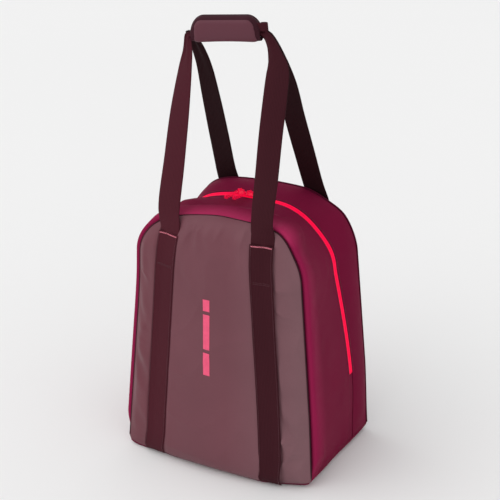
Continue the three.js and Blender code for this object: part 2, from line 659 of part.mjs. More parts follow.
function gripStrip(direction, upward) {
  const thickness = PAD_START - GRIP_PARTING - GAP;
  const half = { along: (GRIP_FULL * GRIP_LENGTH) / 2, out: thickness / 2, up: STRIP_WIDTH / 2 };
  const middleUp = upward * (RUN_WIDTH / 2 + GAP + SEAM_GAP + half.up);
  const middleOut = direction * (GRIP_PARTING + half.out);
  const ring = (along) => [[-1, -1], [1, -1], [1, 1], [-1, 1]].map(([u, v]) =>
    gripPoint(along, middleOut + u * half.out, middleUp + v * half.up));
  return loft([ring(-half.along), ring(half.along)]);
}

function buildGripHalf(name, direction, stripName) {
  const cover = (inset) => GRIP_STATIONS.map((t) => gripHalfOutline(direction, t, inset, GRIP_PARTING));
  addPart(`grip_cover_${name}`, sheet(cover(0), cover(GRIP_WALL)), BINDING);
  const patchStations = GRIP_STATIONS.filter((t) => Math.abs(t) < PATCH_END);
  const patch = (inset) =>
    patchStations.map((t) => gripHalfOutline(direction, t, inset, GRIP_PARTING).slice(2, -2));
  addPart(`grip_patch_${name}`, sheet(patch(-PATCH_LIFT - PATCH_THICK), patch(-PATCH_LIFT)), TARPAULIN);
  const pad = GRIP_STATIONS.filter((t) => Math.abs(t) < 1)
    .map((t) => gripHalfOutline(direction, t, GRIP_WALL + GAP, PAD_START));
  addPart(`grip_pad_${name}`, loft(pad), FOAM_FINISH);
  addPart(`grip_${stripName}_strip_upper`, gripStrip(direction, 1), VELCRO_FINISH);
  addPart(`grip_${stripName}_strip_lower`, gripStrip(direction, -1), VELCRO_FINISH);
}

// ---- the free handles ---------------------------------------------------------------------------
// Through the grip, as [how far along, 1 at its ends, height, width, thickness]: the webbing is
// gathered where it leaves at each end, and turns only when it's out.
const RUN_STATIONS = [
  [-1.04, -5.5, 10, 4.4], [-0.88, -2.5, 14, RUN_THICK], [-0.74, 0, RUN_WIDTH, RUN_THICK],
  [0, 0, RUN_WIDTH, RUN_THICK],
  [0.74, 0, RUN_WIDTH, RUN_THICK], [0.88, -1.5, 16, RUN_THICK], [1.04, -3.5, 12.5, 4.2],
];
const FREE_START = 0.5;           // the free webbing starts this far above the stitch line
const UPRIGHT_START = 9;          // and runs straight up to here

// Each leg from above its stitch line up to the grip as [x, y, z, width, thickness]. The webbing
// gathers, so it narrows and thickens, towards the grip.
const HANDLE_LEGS = {
  front: {
    left: [[-84, -103, 443, 36, 2], [-84, -84, 512, 36, 2], [-85, -62, 585, 32, 2.2],
      [-85.5, -44, 640, 23, 3.2], [-84.3, -37, 666, 14, 4.6], [-85, -35, 680, 10, 5.2],
      [-84.6, -34, 689, 10, 5.2]],
    right: [[72, -103, 443, 36, 2], [70, -84, 512, 36, 2], [66.8, -64, 575, 36, 2],
      [64.8, -46, 628, 36, 2], [60.3, -30, 664, 34, 2.2], [53, -24, 680, 25, 3],
      [46, -19, 692, 20, 3.8], [36, -14.5, 702, 16, 4.4]],
  },
  rear: {
    left: [[-88.6, 91, 424, 36, 2], [-87.6, 64, 497, 35, 2], [-86, 38, 567, 32, 2.2],
      [-85, 14, 628, 26, 2.8], [-85.5, -6, 664, 20, 3.6], [-86, -18, 681, 14, 4.6],
      [-88, -25.5, 690.5, 10, 4.6]],
    right: [[65.5, 91, 424, 35, 2], [60, 68, 487, 36, 2], [52.5, 44, 560, 36, 2],
      [49.8, 22, 620, 34, 2.2], [45.5, 7, 660, 26, 2.8], [41.5, -1, 684, 18, 3.8],
      [34, -5, 700, 14, 4.4]],
  },
};
const SLOPE_REACH = 10;           // the slope of the panel under a strap is measured this far each side

function legStations(direction, side, rows, stitchZ) {
  const facing = new THREE.Vector3(0, direction, 0);
  const x = strapCentre(direction, side, stitchZ);
  const y = panelSurface(direction, x, stitchZ) + direction * (GAP + WEBBING / 2);
  const rightY = panelSurface(direction, x + SLOPE_REACH, stitchZ);
  const slope = (rightY - panelSurface(direction, x - SLOPE_REACH, stitchZ)) / (2 * SLOPE_REACH);
  const sewnFacing = new THREE.Vector3(-slope * direction, direction, 0).normalize();
  const start = [FREE_START, UPRIGHT_START].map((rise) => {
    const at = new THREE.Vector3(x, y, stitchZ + rise);
    return { at, facing: sewnFacing, width: WEBBING_WIDTH, thick: WEBBING };
  });
  const rest = rows.map(([atX, atY, atZ, width, thick]) => (
    { at: new THREE.Vector3(atX, atY, atZ), facing, width, thick }));
  return [...start, ...rest];
}

function buildHandle(name, direction) {
  const legs = HANDLE_LEGS[name];
  const left = legStations(direction, -1, legs.left, STITCH_Z[name]);
  const right = legStations(direction, 1, legs.right, STITCH_Z[name]);
  const facing = gripFront.clone().multiplyScalar(-direction);
  const run = RUN_STATIONS.map(([t, up, width, thick]) => {
    const at = gripPoint((t * GRIP_LENGTH) / 2, -direction * RUN_OFFSET, up);
    return { at, facing, width, thick };
  });
  addPart(`${name}_handle_webbing`, webbing([...left, ...run, ...right.reverse()]), WEBBING_FINISH);
}

// ---- assembly -------------------------------------------------------------------------------------
buildBase();
buildPanels();
buildGussets();
buildPiping();
buildZip();
buildSliders();
buildSewnStraps();
buildHandle('front', -1);
buildHandle('rear', 1);
buildGripHalf('front', 1, 'hook');
buildGripHalf('rear', -1, 'loop');

export default bag;
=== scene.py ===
"""Ski boot bag: the looks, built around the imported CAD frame.

Shapes are worked out in millimetres, with the same dimensions as the CAD source, and made in
metres. +Z is up, the front faces -Y, and the bag's right side is +X.
"""
import math

import bpy
import numpy as np
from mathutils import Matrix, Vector


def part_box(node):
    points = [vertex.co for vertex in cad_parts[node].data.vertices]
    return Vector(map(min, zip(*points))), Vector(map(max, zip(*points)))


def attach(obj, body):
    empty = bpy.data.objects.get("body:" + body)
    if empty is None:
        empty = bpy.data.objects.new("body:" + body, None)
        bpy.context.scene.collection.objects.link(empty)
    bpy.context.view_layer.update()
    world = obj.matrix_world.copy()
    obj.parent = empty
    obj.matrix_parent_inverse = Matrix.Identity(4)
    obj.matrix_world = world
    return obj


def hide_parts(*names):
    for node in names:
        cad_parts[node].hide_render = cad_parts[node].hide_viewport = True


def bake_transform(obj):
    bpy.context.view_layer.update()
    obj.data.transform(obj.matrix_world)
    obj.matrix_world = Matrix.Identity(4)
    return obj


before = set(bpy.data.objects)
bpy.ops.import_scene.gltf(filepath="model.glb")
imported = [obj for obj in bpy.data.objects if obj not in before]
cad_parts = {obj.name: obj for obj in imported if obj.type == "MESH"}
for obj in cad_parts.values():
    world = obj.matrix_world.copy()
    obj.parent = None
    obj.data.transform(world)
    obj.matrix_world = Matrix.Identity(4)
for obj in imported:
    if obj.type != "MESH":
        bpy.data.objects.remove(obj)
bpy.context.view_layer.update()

MM = 0.001

# ---- driving dimensions, in mm -------------------------------------------------------------
BASE_WIDTH = 330
BODY_DEPTH = 210
ZIP_Y = 48
BACK_LEAN = -0.046
ZIP_END = 138                     # height of the zip's ends, where the rear section folds
BASE_CORNER = 14
CLOTH = 1.4
LAYER = 2.6                       # outer cloth and the gap behind it
FOAM = 4.4
LINING = 1.2
FRONT_BULGE = 30
BACK_BULGE = 12
GUSSET_PUFF = 10
REAR_PUFF = 4
WEBBING_WIDTH = 36
WEBBING = 2
ZIP_BAND = 7
TOP_SINK = 1.6
ROLL_PLACE = 0.25                 # the gusset rolls over just behind its front seam
FLAT_SHARE = 0.85                 # how much of that roll is missing along the top's front seam
BULGE_ROUND = 2.2
BULGE_SQUARE = 8
PIPING_RADIUS = 0.9
BASE_BINDING_RADIUS = 1.2
FRONT_Y = -BODY_DEPTH / 2
BACK_Y = BODY_DEPTH / 2
GUSSET_FRONT = FRONT_Y + 2.8
GUSSET_BACK = BACK_Y - 2.4
TAPE_WIDTH = 5.6
ZIP_SLOT = 1.6
TAPE_FRONT = ZIP_Y - ZIP_SLOT / 2 - TAPE_WIDTH
TAPE_BACK = ZIP_Y + ZIP_SLOT / 2 + TAPE_WIDTH
FOLDED = "folded"                 # in place of a body, for cloth that crosses the fold

# Depth, height, corner radius, taper, lean and belly of the dome's three sections.
SECTIONS = (
    (FRONT_Y, 440, 90, 0.083, 0.021, 0),
    (ZIP_Y, 416, 100, 0.108, BACK_LEAN, 8),
    (BACK_Y, 421, 98, 0.072, BACK_LEAN, 0),
)


def smoothstep(t):
    t = np.clip(t, 0, 1)
    return t * t * (3 - 2 * t)


def bump_at(value, middle, reach):
    """A soft bump, 1 at its middle."""
    return np.exp(-(((value - middle) / reach) ** 2))


# ---- smooth noise that is the same on every run ----------------------------------------------
def lattice(ix, iy, seed):
    mixed = (ix * 374761393 + iy * 668265263 + seed * 982451653) & 0xFFFFFFFF
    mixed = ((mixed ^ (mixed >> 13)) * 1274126177) & 0xFFFFFFFF
    return ((mixed ^ (mixed >> 16)) & 0xFFFFFFFF) / 0xFFFFFFFF


def noise(x, y, seed=0):
    """Smooth noise from -1 to 1 with features about one unit wide."""
    x, y = np.broadcast_arrays(np.asarray(x, float), np.asarray(y, float))
    ix, iy = np.floor(x).astype(np.int64), np.floor(y).astype(np.int64)
    fx, fy = smoothstep(x - ix), smoothstep(y - iy)
    low = lattice(ix, iy, seed) * (1 - fx) + lattice(ix + 1, iy, seed) * fx
    high = lattice(ix, iy + 1, seed) * (1 - fx) + lattice(ix + 1, iy + 1, seed) * fx
    return 2 * (low * (1 - fy) + high * fy) - 1


def rolling(x, y, size, seed=0):
    """Three octaves of noise, the largest `size` mm across."""
    total = 0
    for octave in range(3):
        scale = 2**octave / size
        total = total + noise(x * scale, y * scale, seed + octave) / 2**octave
    return total / 1.75


def creases(x, y, length, width, angle, seed=0):
    """Sharp folds of cloth, 0 to 1, `length` long and `width` apart, turned by an angle."""
    c, s = math.cos(angle), math.sin(angle)
    along, over = (x * c + y * s) / length, (-x * s + y * c) / width
    return (1 - np.abs(noise(along, over + 0.6 * noise(along * 1.7, over * 0.4, seed + 9), seed))) ** 5


# ---- the dome ------------------------------------------------------------------------------
class Section:
    """The dome's outline at one depth."""

    def __init__(self, y):
        before = y <= ZIP_Y
        first, last = (SECTIONS[0], SECTIONS[1]) if before else (SECTIONS[1], SECTIONS[2])
        start = first[0] if before else ZIP_Y + ZIP_BAND
        end = ZIP_Y - ZIP_BAND if before else last[0]
        t = min(max((y - start) / (end - start), 0), 1)
        seam = min(max((y - GUSSET_FRONT) / (end - GUSSET_FRONT), 0), 1)
        sink = 1 - (1 - t) ** TOP_SINK if before else t
        mixed = [a + (b - a) * t for a, b in zip(first, last)]
        self.height = first[1] + (last[1] - first[1]) * sink
        self.radius, self.taper, self.lean, self.belly = mixed[2:]
        roll = GUSSET_PUFF * math.sin(math.pi * seam**ROLL_PLACE)
        self.puff = roll if before else REAR_PUFF * math.sin(math.pi * t)
        self.flat = FLAT_SHARE * (1 - float(smoothstep((seam - 0.25) / 0.3))) if before else 0
        self.slope = math.hypot(1, self.taper)
        self.tilt = math.atan(self.taper)
        self.corner_z = self.height - self.radius
        self.corner_x = BASE_WIDTH / 2 - self.taper * self.corner_z - self.radius * self.slope

    def half_width(self, z, inset=0):
        """Half of the width at a height, `inset` inside the outline."""
        z, inset = np.broadcast_arrays(np.asarray(z, float), np.asarray(inset, float))
        radius = self.radius - inset
        arc = self.corner_x + np.sqrt(np.maximum(radius**2 - (z - self.corner_z) ** 2, 0))
        level = np.maximum(z, BASE_CORNER)
        belly = self.belly * np.sin(np.pi * np.minimum(level, self.corner_z) / self.corner_z)
        side = BASE_WIDTH / 2 - self.taper * level + belly - inset * self.slope
        base = BASE_CORNER - inset
        low = side - base + np.sqrt(np.maximum(base**2 - (BASE_CORNER - z) ** 2, 0))
        side = np.where(z >= BASE_CORNER, side, low)
        return np.where(z > self.corner_z + radius * math.sin(self.tilt), arc, side)

    def arch(self, inset, from_z, side_steps=44, arc_steps=34, top_steps=12):
        """Up the right side, over the top and down the left side, as rows of (x, z)."""
        arc_start = self.corner_z + self.radius * math.sin(self.tilt)
        z = np.linspace(from_z, arc_start, side_steps, endpoint=False)
        fade = smoothstep((z - BASE_CORNER) / (3 * BASE_CORNER))
        side = np.stack([self.half_width(z, inset - self.puff * fade), z], 1)
        angle = np.linspace(self.tilt, math.pi / 2, arc_steps)
        radius = self.radius - inset + self.puff * (1 - self.flat * smoothstep((angle - 0.8) / 0.6))
        arc = np.stack([self.corner_x + radius * np.cos(angle), self.corner_z + radius * np.sin(angle)], 1)
        across = np.linspace(self.corner_x, 0, top_steps + 1)[1:]
        top = np.stack([across, np.full(top_steps, self.corner_z + radius[-1])], 1)
        right = np.concatenate([side, arc, top])
        return np.concatenate([right, (right * (-1, 1))[-2::-1]])

    def seam_distance(self, x, z):
        """How far inside the outline a point is."""
        x = np.abs(x)
        side = (BASE_WIDTH / 2 - self.taper * z - x) / self.slope
        inside = np.minimum(np.minimum(side, self.height - z), z)
        top = self.radius - np.hypot(x - self.corner_x, z - self.corner_z)
        inside = np.where((x > self.corner_x) & (z > self.corner_z), np.minimum(top, inside), inside)
        base_x = BASE_WIDTH / 2 - self.taper * BASE_CORNER - BASE_CORNER
        low = BASE_CORNER - np.hypot(x - base_x, BASE_CORNER - z)
        inside = np.where((x > base_x) & (z < BASE_CORNER), np.minimum(low, inside), inside)
        return np.maximum(inside, 0)


FRONT = Section(FRONT_Y)
BACK = Section(BACK_Y)


def placed(section, x, y, z):
    """Points from their coordinates, leaning with a section of the dome."""
    x, y, z = np.broadcast_arrays(x, y, z)
    return np.stack([x, y + z * section.lean, z], -1)


def on_panel(direction, section, x, z, out):
    """Points `out` in front of a panel's seam plane. The front's direction is -1, the back's 1."""
    return placed(section, x, direction * (BODY_DEPTH / 2 + out), z)


# How far the cloth settles out of its sewn shape, in mm.
LEFT_SAG = 12.5                   # the front left shoulder hangs low
LEFT_FULLNESS = 5                 # and stands out
FRONT_SQUARE = 8                  # the front right shoulder stays square
REAR_SQUARE = 7
ZIP_DIP = 5                       # the zip's right shoulder dips
ZIP_RISE = 7                      # and its left one stands up
CROWN_DROP = 6                    # the rear crown is flatter on its left
CORNER_IN = 9                     # the base is drawn in at its right corners
CORNER_BACK = 12                  # and drawn back and up at the front one
CORNER_UP = 3


def settle(points):
    """The cloth's own settling, which leaves the sewn shape a little uneven."""
    x, y, z = points[..., 0], points[..., 1], points[..., 2]
    front = smoothstep((60 - y) / 110)
    body = smoothstep((z - 280) / 140) * (1 - smoothstep((z - 452) / 90))
    upper = smoothstep((z - 330) / 50)
    below_handles = 1 - smoothstep((z - 440) / 60)
    sag = LEFT_SAG * front * body * smoothstep((10 - x) / 90)
    square = FRONT_SQUARE * front * body * bump_at(x, 100, 21) * smoothstep((z - 385) / 30)
    rear = smoothstep((y - 55) / 30) * smoothstep((z - 340) / 50)
    square = square + REAR_SQUARE * bump_at(x, 120, 26) * rear
    crown = CROWN_DROP * bump_at(x, -60, 42) * smoothstep((y - 40) / 50) * smoothstep((z - 385) / 25)
    rise = ZIP_RISE * bump_at(x, -104, 30) * bump_at(y, 28, 38) * upper
    dip = ZIP_DIP * bump_at(x, 105, 32) * smoothstep((y + 10) / 50) * upper
    near_base = 1 - smoothstep(z / 140)
    right = smoothstep((x - 40) / 110) * near_base * (1 - 0.55 * smoothstep((y + 20) / 120))
    corner = smoothstep((x - 85) / 75) * near_base * smoothstep((-y - 30) / 75)
    out = points.copy()
    out[..., 0] -= CORNER_IN * right
    out[..., 0] -= LEFT_FULLNESS * front * smoothstep((-x - 70) / 45) * bump_at(z, 385, 60)
    out[..., 1] += CORNER_BACK * corner
    out[..., 2] += square + (rise - crown) * below_handles - sag - dip + CORNER_UP * corner
    return out


# ---- mesh making ---------------------------------------------------------------------------
def quads(rows, columns, start=0, wrap=False):
    """Faces of a grid of points. With wrap, the last column joins the first."""
    i, j = np.meshgrid(np.arange(rows - 1), np.arange(columns if wrap else columns - 1), indexing="ij")
    j2 = (j + 1) % columns
    a, b = i * columns + j, (i + 1) * columns + j
    c, d = (i + 1) * columns + j2, i * columns + j2
    return (np.stack([a, b, c, d], -1).reshape(-1, 4) + start).tolist()


def volume(points, faces):
    four = np.array([f for f in faces if len(f) == 4])
    a, b, c, d = (points[four[:, k]] for k in range(4))
    return float(((a * np.cross(b, c)).sum() + (a * np.cross(c, d)).sum()) / 6)


def make(name, points, faces, material, uv=None):
    """A smooth-shaded object from points in mm. uv is a pair for each point, in metres."""
    points = np.asarray(points, float)
    if volume(points, faces) < 0:
        faces = [f[::-1] for f in faces]
    mesh = bpy.data.meshes.new(name)
    mesh.from_pydata((points * MM).tolist(), [], faces)
    mesh.polygons.foreach_set("use_smooth", [True] * len(mesh.polygons))
    if uv is not None:
        layer = mesh.uv_layers.new(name="cloth")
        corners = np.empty(len(mesh.loops), np.int32)
        mesh.loops.foreach_get("vertex_index", corners)
        layer.data.foreach_set("uv", np.asarray(uv, np.float32)[corners].ravel())
    mesh.materials.append(material)
    piece = bpy.data.objects.new(name, mesh)
    bpy.context.scene.collection.objects.link(piece)
    return piece


def stand_in(piece, body, *nodes):
    """Puts a piece in place of CAD nodes, on a body, or with its transform baked and on no body where it
    crosses the fold.
    """
    if nodes:
        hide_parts(*nodes)
    if body == FOLDED:
        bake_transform(piece)
    else:
        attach(piece, body)


def lengths(grid, axis):
    """Distance along one axis of a grid of points, from its first point."""
    steps = np.linalg.norm(np.diff(grid, axis=axis), axis=-1)
    first = np.zeros_like(np.take(steps, [0], axis=axis))
    return np.concatenate([first, np.cumsum(steps, axis=axis)], axis=axis)


def normals(grid, outward):
    """Unit normals of a grid of points, on the side that `outward` points to."""
    normal = np.cross(np.gradient(grid, axis=0), np.gradient(grid, axis=1))
    normal /= np.maximum(np.linalg.norm(normal, axis=-1, keepdims=True), 1e-9)
    return -normal if (normal * outward).sum() < 0 else normal


def cloth(name, grid, thickness, material, outward, lift=None):
    """A closed layer of cloth with `grid` as its outer face. `lift` moves it along its normal."""
    outer = np.asarray(grid, float)
    rows, columns = outer.shape[:2]
    across = lengths(outer, 1)
    uv = np.stack([across, lengths(outer, 0)], -1) * MM
    normal = normals(outer, outward)
    if lift is not None:
        outer = outer + normal * lift[..., None]
    inner = outer - normal * (np.ones((rows, columns)) * thickness)[..., None]
    half = rows * columns
    faces = quads(rows, columns)
    faces += [f[::-1] for f in quads(rows, columns, half)]
    edge = list(range(columns)) + [i * columns + columns - 1 for i in range(1, rows)]
    edge += [half - 1 - j for j in range(1, columns)] + [i * columns for i in range(rows - 2, 0, -1)]
    faces += [[a, b, b + half, a + half] for a, b in zip(edge, edge[1:] + edge[:1])]
    points = np.concatenate([outer.reshape(-1, 3), inner.reshape(-1, 3)])
    piece = make(name, points, faces, material, np.concatenate([uv.reshape(-1, 2)] * 2))
    return piece


def loft(name, rings, material):
    """A closed body through rings of points, with flat ends."""
    rings = np.asarray(rings, float)
    rows, columns = rings.shape[:2]
    faces = quads(rows, columns, wrap=True)
    faces += [list(range(columns)), list(range((rows - 1) * columns, rows * columns))[::-1]]
    closed = np.concatenate([rings, rings[:, :1]], 1)
    uv = np.stack([lengths(closed, 1)[:, :-1], lengths(rings, 0)], -1) * MM
    return make(name, rings.reshape(-1, 3), faces, material, uv.reshape(-1, 2))


def directions(path):
    along = np.gradient(path, axis=0)
    return along / np.linalg.norm(along, axis=-1, keepdims=True)


def tube(name, path, radius, material, sides=10):
    """A round cord along a path."""
    path = np.asarray(path, float)
    along = directions(path)
    side = np.cross(along[0], (0.31, 0.52, 0.79))
    angle = np.linspace(0, 2 * math.pi, sides, endpoint=False)
    rings = []
    for point, way in zip(path, along):
        side = side - way * side.dot(way)
        side /= np.linalg.norm(side)
        up = np.cross(way, side)
        rings.append(point + radius * (np.cos(angle)[:, None] * side + np.sin(angle)[:, None] * up))
    return loft(name, rings, material)


def mix(first, last, start, end, t):
    return ((end - t) * first + (t - start) * last) / (end - start)


def smooth_path(values, step):
    """A smooth curve through rows of numbers, whose first three are a place, a step apart."""
    values = np.asarray(values, float)
    ends = np.concatenate([[2 * values[0] - values[1]], values, [2 * values[-1] - values[-2]]])
    knots = np.concatenate([[0], np.cumsum(np.linalg.norm(np.diff(ends[:, :3], axis=0), axis=1) ** 0.5)])
    out = []
    for i in range(1, len(ends) - 2):
        count = max(int(np.linalg.norm(ends[i + 1, :3] - ends[i, :3]) / step), 2)
        t = np.linspace(knots[i], knots[i + 1], count, endpoint=False)[:, None]
        a, b, c, d = ends[i - 1 : i + 3]
        ta, tb, tc, td = knots[i - 1 : i + 3]
        ab, bc, cd = mix(a, b, ta, tb, t), mix(b, c, tb, tc, t), mix(c, d, tc, td, t)
        out.append(mix(mix(ab, bc, ta, tc, t), mix(bc, cd, tb, td, t), tb, tc, t))
    out.append(values[-1:])
    return np.concatenate(out)


def stitches(name, starts, ends, ups, radius, material, slot):
    """Short threads from each start to each end, bowed up a little in the middle."""
    shape = ((0, 0.45), (0.12, 0.95), (0.5, 1), (0.88, 0.95), (1, 0.45))
    sides = 6
    points, faces = [], []
    for start, end, up in zip(starts, ends, ups):
        along = end - start
        length = np.linalg.norm(along)
        along = along / length
        side = np.cross(up, along)
        side /= np.linalg.norm(side)
        high = np.cross(along, side)
        base = len(points)
        for t, swell in shape:
            middle = start + along * (length * t) + high * (radius * (1.1 * math.sin(math.pi * t) - 0.2))
            for k in range(sides):
                a = 2 * math.pi * k / sides
                points.append(middle + radius * swell * (math.cos(a) * side + math.sin(a) * high))
        faces += quads(len(shape), sides, base, wrap=True)
        last = base + (len(shape) - 1) * sides
        faces += [list(range(base, base + sides)), list(range(last, last + sides))[::-1]]
    return make(name, points, faces, material)


def between(rows, at, where):
    """Rows of three numbers, known `at` some lengths, read at others."""
    return np.stack([np.interp(where, at, rows[:, k]) for k in range(3)], 1)


def facing(direction, count):
    """The same normal, to the front (-1) or the back (1), for a number of points."""
    return np.tile((0.0, float(direction), 0.0), (count, 1))


def running_stitch(path, up, pitch, length):
    """Starts, ends and normals of stitches `length` long along a path, one every `pitch`."""
    path, up = np.asarray(path, float), np.asarray(up, float)
    at = lengths(path[None], 1)[0]
    first = np.arange(pitch / 2, at[-1] - length, pitch)
    return between(path, at, first), between(path, at, first + length), between(up, at, first + length / 2)


def rounded_strip(width, thick, steps=12):
    """The section of flat webbing, as (across, out) pairs round it, with soft edges."""
    u = np.linspace(-1, 1, steps)
    side = 0.62 + 0.38 * np.sqrt(np.maximum(1 - np.abs(u) ** 9, 0))
    upper = np.stack([u * width / 2, side * thick / 2], 1)
    return np.concatenate([upper, (upper * (1, -1))[::-1]])


# ---- materials -----------------------------------------------------------------------------
def srgb(red, green, blue):
    """Linear colour from 0-255 display values."""
    values = [c / 255 for c in (red, green, blue)]
    linear = [c / 12.92 if c <= 0.04045 else ((c + 0.055) / 1.055) ** 2.4 for c in values]
    return (*linear, 1)


WHITE = (1, 1, 1, 1)


def grey(low, high):
    """Two plain multiples for Paint.vary."""
    return (low, low, low), (high, high, high)


class Paint:
    """A Principled material that is put together from small texture steps."""

    def __init__(self, name, colour, roughness, specular=0.5, sheen=0.0, sheen_tint=WHITE, coat=0.0):
        self.material = bpy.data.materials.new(name)
        self.material.use_nodes = True
        self.nodes = self.material.node_tree.nodes
        self.links = self.material.node_tree.links
        self.shader = self.nodes["Principled BSDF"]
        values = {
            "Base Color": colour, "Roughness": roughness, "Specular IOR Level": specular,
            "Sheen Weight": sheen, "Sheen Roughness": 0.45, "Sheen Tint": sheen_tint,
            "Coat Weight": coat, "Coat Roughness": 0.3,
        }
        for socket, value in values.items():
            self.shader.inputs[socket].default_value = value
        self.colour = colour
        self.place = self.nodes.new("ShaderNodeTexCoord").outputs
        self.normal = None
        self.tint = None

    def painted_glow(self, colour, strength):
        """A painted glow: the part gives off light of its own, though it is no lamp, to look brighter."""
        self.shader.inputs["Emission Color"].default_value = colour
        self.shader.inputs["Emission Strength"].default_value = strength
        return self.material

    def node(self, kind, **values):
        made = self.nodes.new(kind)
        for key, value in values.items():
            if hasattr(made, key):
                setattr(made, key, value)
            else:
                made.inputs[key.replace("_", " ").title()].default_value = value
        return made

    def noise(self, size, detail=3, space="Object"):
        """Noise with features about `size` mm across."""
        made = self.node("ShaderNodeTexNoise", scale=1 / (size * MM), detail=detail)
        self.links.new(self.place[space], made.inputs["Vector"])
        return made.outputs["Fac"]

    def span(self, axis, start, end):
        """From 0 at one place along an axis to 1 at another, in mm, and level beyond them."""
        parts = self.node("ShaderNodeSeparateXYZ")
        self.links.new(self.place["Object"], parts.inputs[0])
        size = end - start
        return self.math("MULTIPLY_ADD", parts.outputs[axis], 1 / (size * MM), -start / size)

    def grain(self, size):
        """Small raised cells, as on coated cloth or moulded plastic."""
        made = self.node("ShaderNodeTexVoronoi", scale=1 / (size * MM))
        self.links.new(self.place["Object"], made.inputs["Vector"])
        return made.outputs["Distance"]

    def ribs(self, pitch, across, wobble=0.0):
        """Threads a pitch apart, in mm. across 'X' counts over the width of the cloth's UV map."""
        made = self.node("ShaderNodeTexWave", bands_direction=across, scale=math.pi / (10 * pitch * MM),
                         distortion=wobble, detail=1)
        self.links.new(self.place["UV"], made.inputs["Vector"])
        return made.outputs["Fac"]

    def math(self, operation, *values):
        made = self.node("ShaderNodeMath", operation=operation, use_clamp=True)
        for socket, value in zip(made.inputs, values):
            if isinstance(value, (int, float)):
                socket.default_value = value
            else:
                self.links.new(value, socket)
        return made.outputs[0]

    def vary(self, factor, low, high, from_low=0.3, from_high=0.7):
        """Blends the base colour between two multiples of it, as the factor runs."""
        ramp = self.node("ShaderNodeValToRGB")
        base = self.colour if self.tint is None else WHITE
        for element, where, scale in zip(ramp.color_ramp.elements, (from_low, from_high), (low, high)):
            element.position = where
            element.color = [min(c * s, 1) for c, s in zip(base[:3], scale)] + [1]
        self.links.new(factor, ramp.inputs["Fac"])
        made = ramp.outputs["Color"]
        if self.tint is not None:
            mix = self.node("ShaderNodeMix", data_type="RGBA", blend_type="MULTIPLY")
            mix.inputs[0].default_value = 1
            self.links.new(self.tint, mix.inputs[6])
            self.links.new(made, mix.inputs[7])
            made = mix.outputs[2]
        self.tint = made
        self.links.new(made, self.shader.inputs["Base Color"])

    def mottle(self, size, low, high, detail=3):
        """Soft patches about `size` mm across, between two multiples of the colour."""
        self.vary(self.noise(size, detail), *grey(low, high))

    def weave(self, pitch, wobble=0.0):
        return self.math("MULTIPLY", self.ribs(pitch, "X", wobble), self.ribs(pitch, "Y", wobble))

    def rough(self, factor, low, high):
        made = self.node("ShaderNodeMapRange")
        made.inputs["To Min"].default_value = low
        made.inputs["To Max"].default_value = high
        self.links.new(factor, made.inputs["Value"])
        self.links.new(made.outputs[0], self.shader.inputs["Roughness"])

    def bump(self, height, depth, strength=0.6):
        """Adds relief, `depth` in mm."""
        made = self.node("ShaderNodeBump", strength=strength, distance=depth * MM)
        self.links.new(height, made.inputs["Height"])
        if self.normal is not None:
            self.links.new(self.normal, made.inputs["Normal"])
        self.normal = made.outputs["Normal"]
        self.links.new(self.normal, self.shader.inputs["Normal"])


FULL_SPAN = (0, 1)                # where on a factor Paint.vary starts and ends


def tarpaulin_paint(name="coated tarpaulin", colour=srgb(107, 63, 71)):
    """Satin cloth with a plastic coat, painted lighter and greyer towards the bag's right side as a painted
    reflection, and painted darker on its left side as painted shade.
    """
    paint = Paint(name, colour, 0.4, specular=0.16, coat=0.04)
    # Painted reflection: lighter and greyer towards the bag's right side.
    paint.vary(paint.span("X", 26, 139), (1.12, 1.13, 1.15), (1.35, 1.9, 1.75), *FULL_SPAN)
    # Painted shade: darker and redder on the bag's left side.
    paint.vary(paint.span("X", -132, -46), (0.95, 0.8, 0.83), (1, 1, 1), *FULL_SPAN)
    paint.mottle(120, 0.9, 1.1, 4)
    paint.mottle(1.3, 0.95, 1.05, 2)
    paint.rough(paint.noise(40, 5), 0.34, 0.52)
    paint.bump(paint.noise(26, 4), 1.6, 0.35)
    paint.bump(paint.grain(0.9), 0.09, 0.5)
    return paint.material


def polyester_paint(name="burgundy polyester", colour=srgb(118, 17, 54)):
    """Plain weave with a sheen, painted brighter near the front seam and most of all on top, as a painted
    sheen highlight.
    """
    paint = Paint(name, colour, 0.75, specular=0.06, sheen=0.06, sheen_tint=srgb(230, 60, 120))
    # Painted highlight: brighter on top just behind the front seam, where the gusset rolls over towards the
    # light.
    painted_sheen_near_top_seam = paint.math("MULTIPLY", paint.span("Y", -50, -92), paint.span("Z", 412, 432))
    paint.vary(painted_sheen_near_top_seam, (1.75, 2.3, 1.95), (2.6, 5.1, 3.1), 0, 0.75)
    # Painted sheen: with the step above, the cloth is brighter near the front seam and back to its plain
    # colour behind it.
    paint.vary(paint.span("Y", -101, -59), (1, 1, 1), (0.57, 0.43, 0.51), *FULL_SPAN)
    weave = paint.weave(0.9, 0.3)
    paint.mottle(150, 0.9, 1.1)
    paint.vary(weave, *grey(0.86, 1.06), from_low=0.0, from_high=0.8)
    paint.rough(paint.noise(30, 4), 0.62, 0.8)
    paint.bump(paint.noise(45, 4), 1.2, 0.3)
    paint.bump(weave, 0.14, 0.7)
    return paint.material


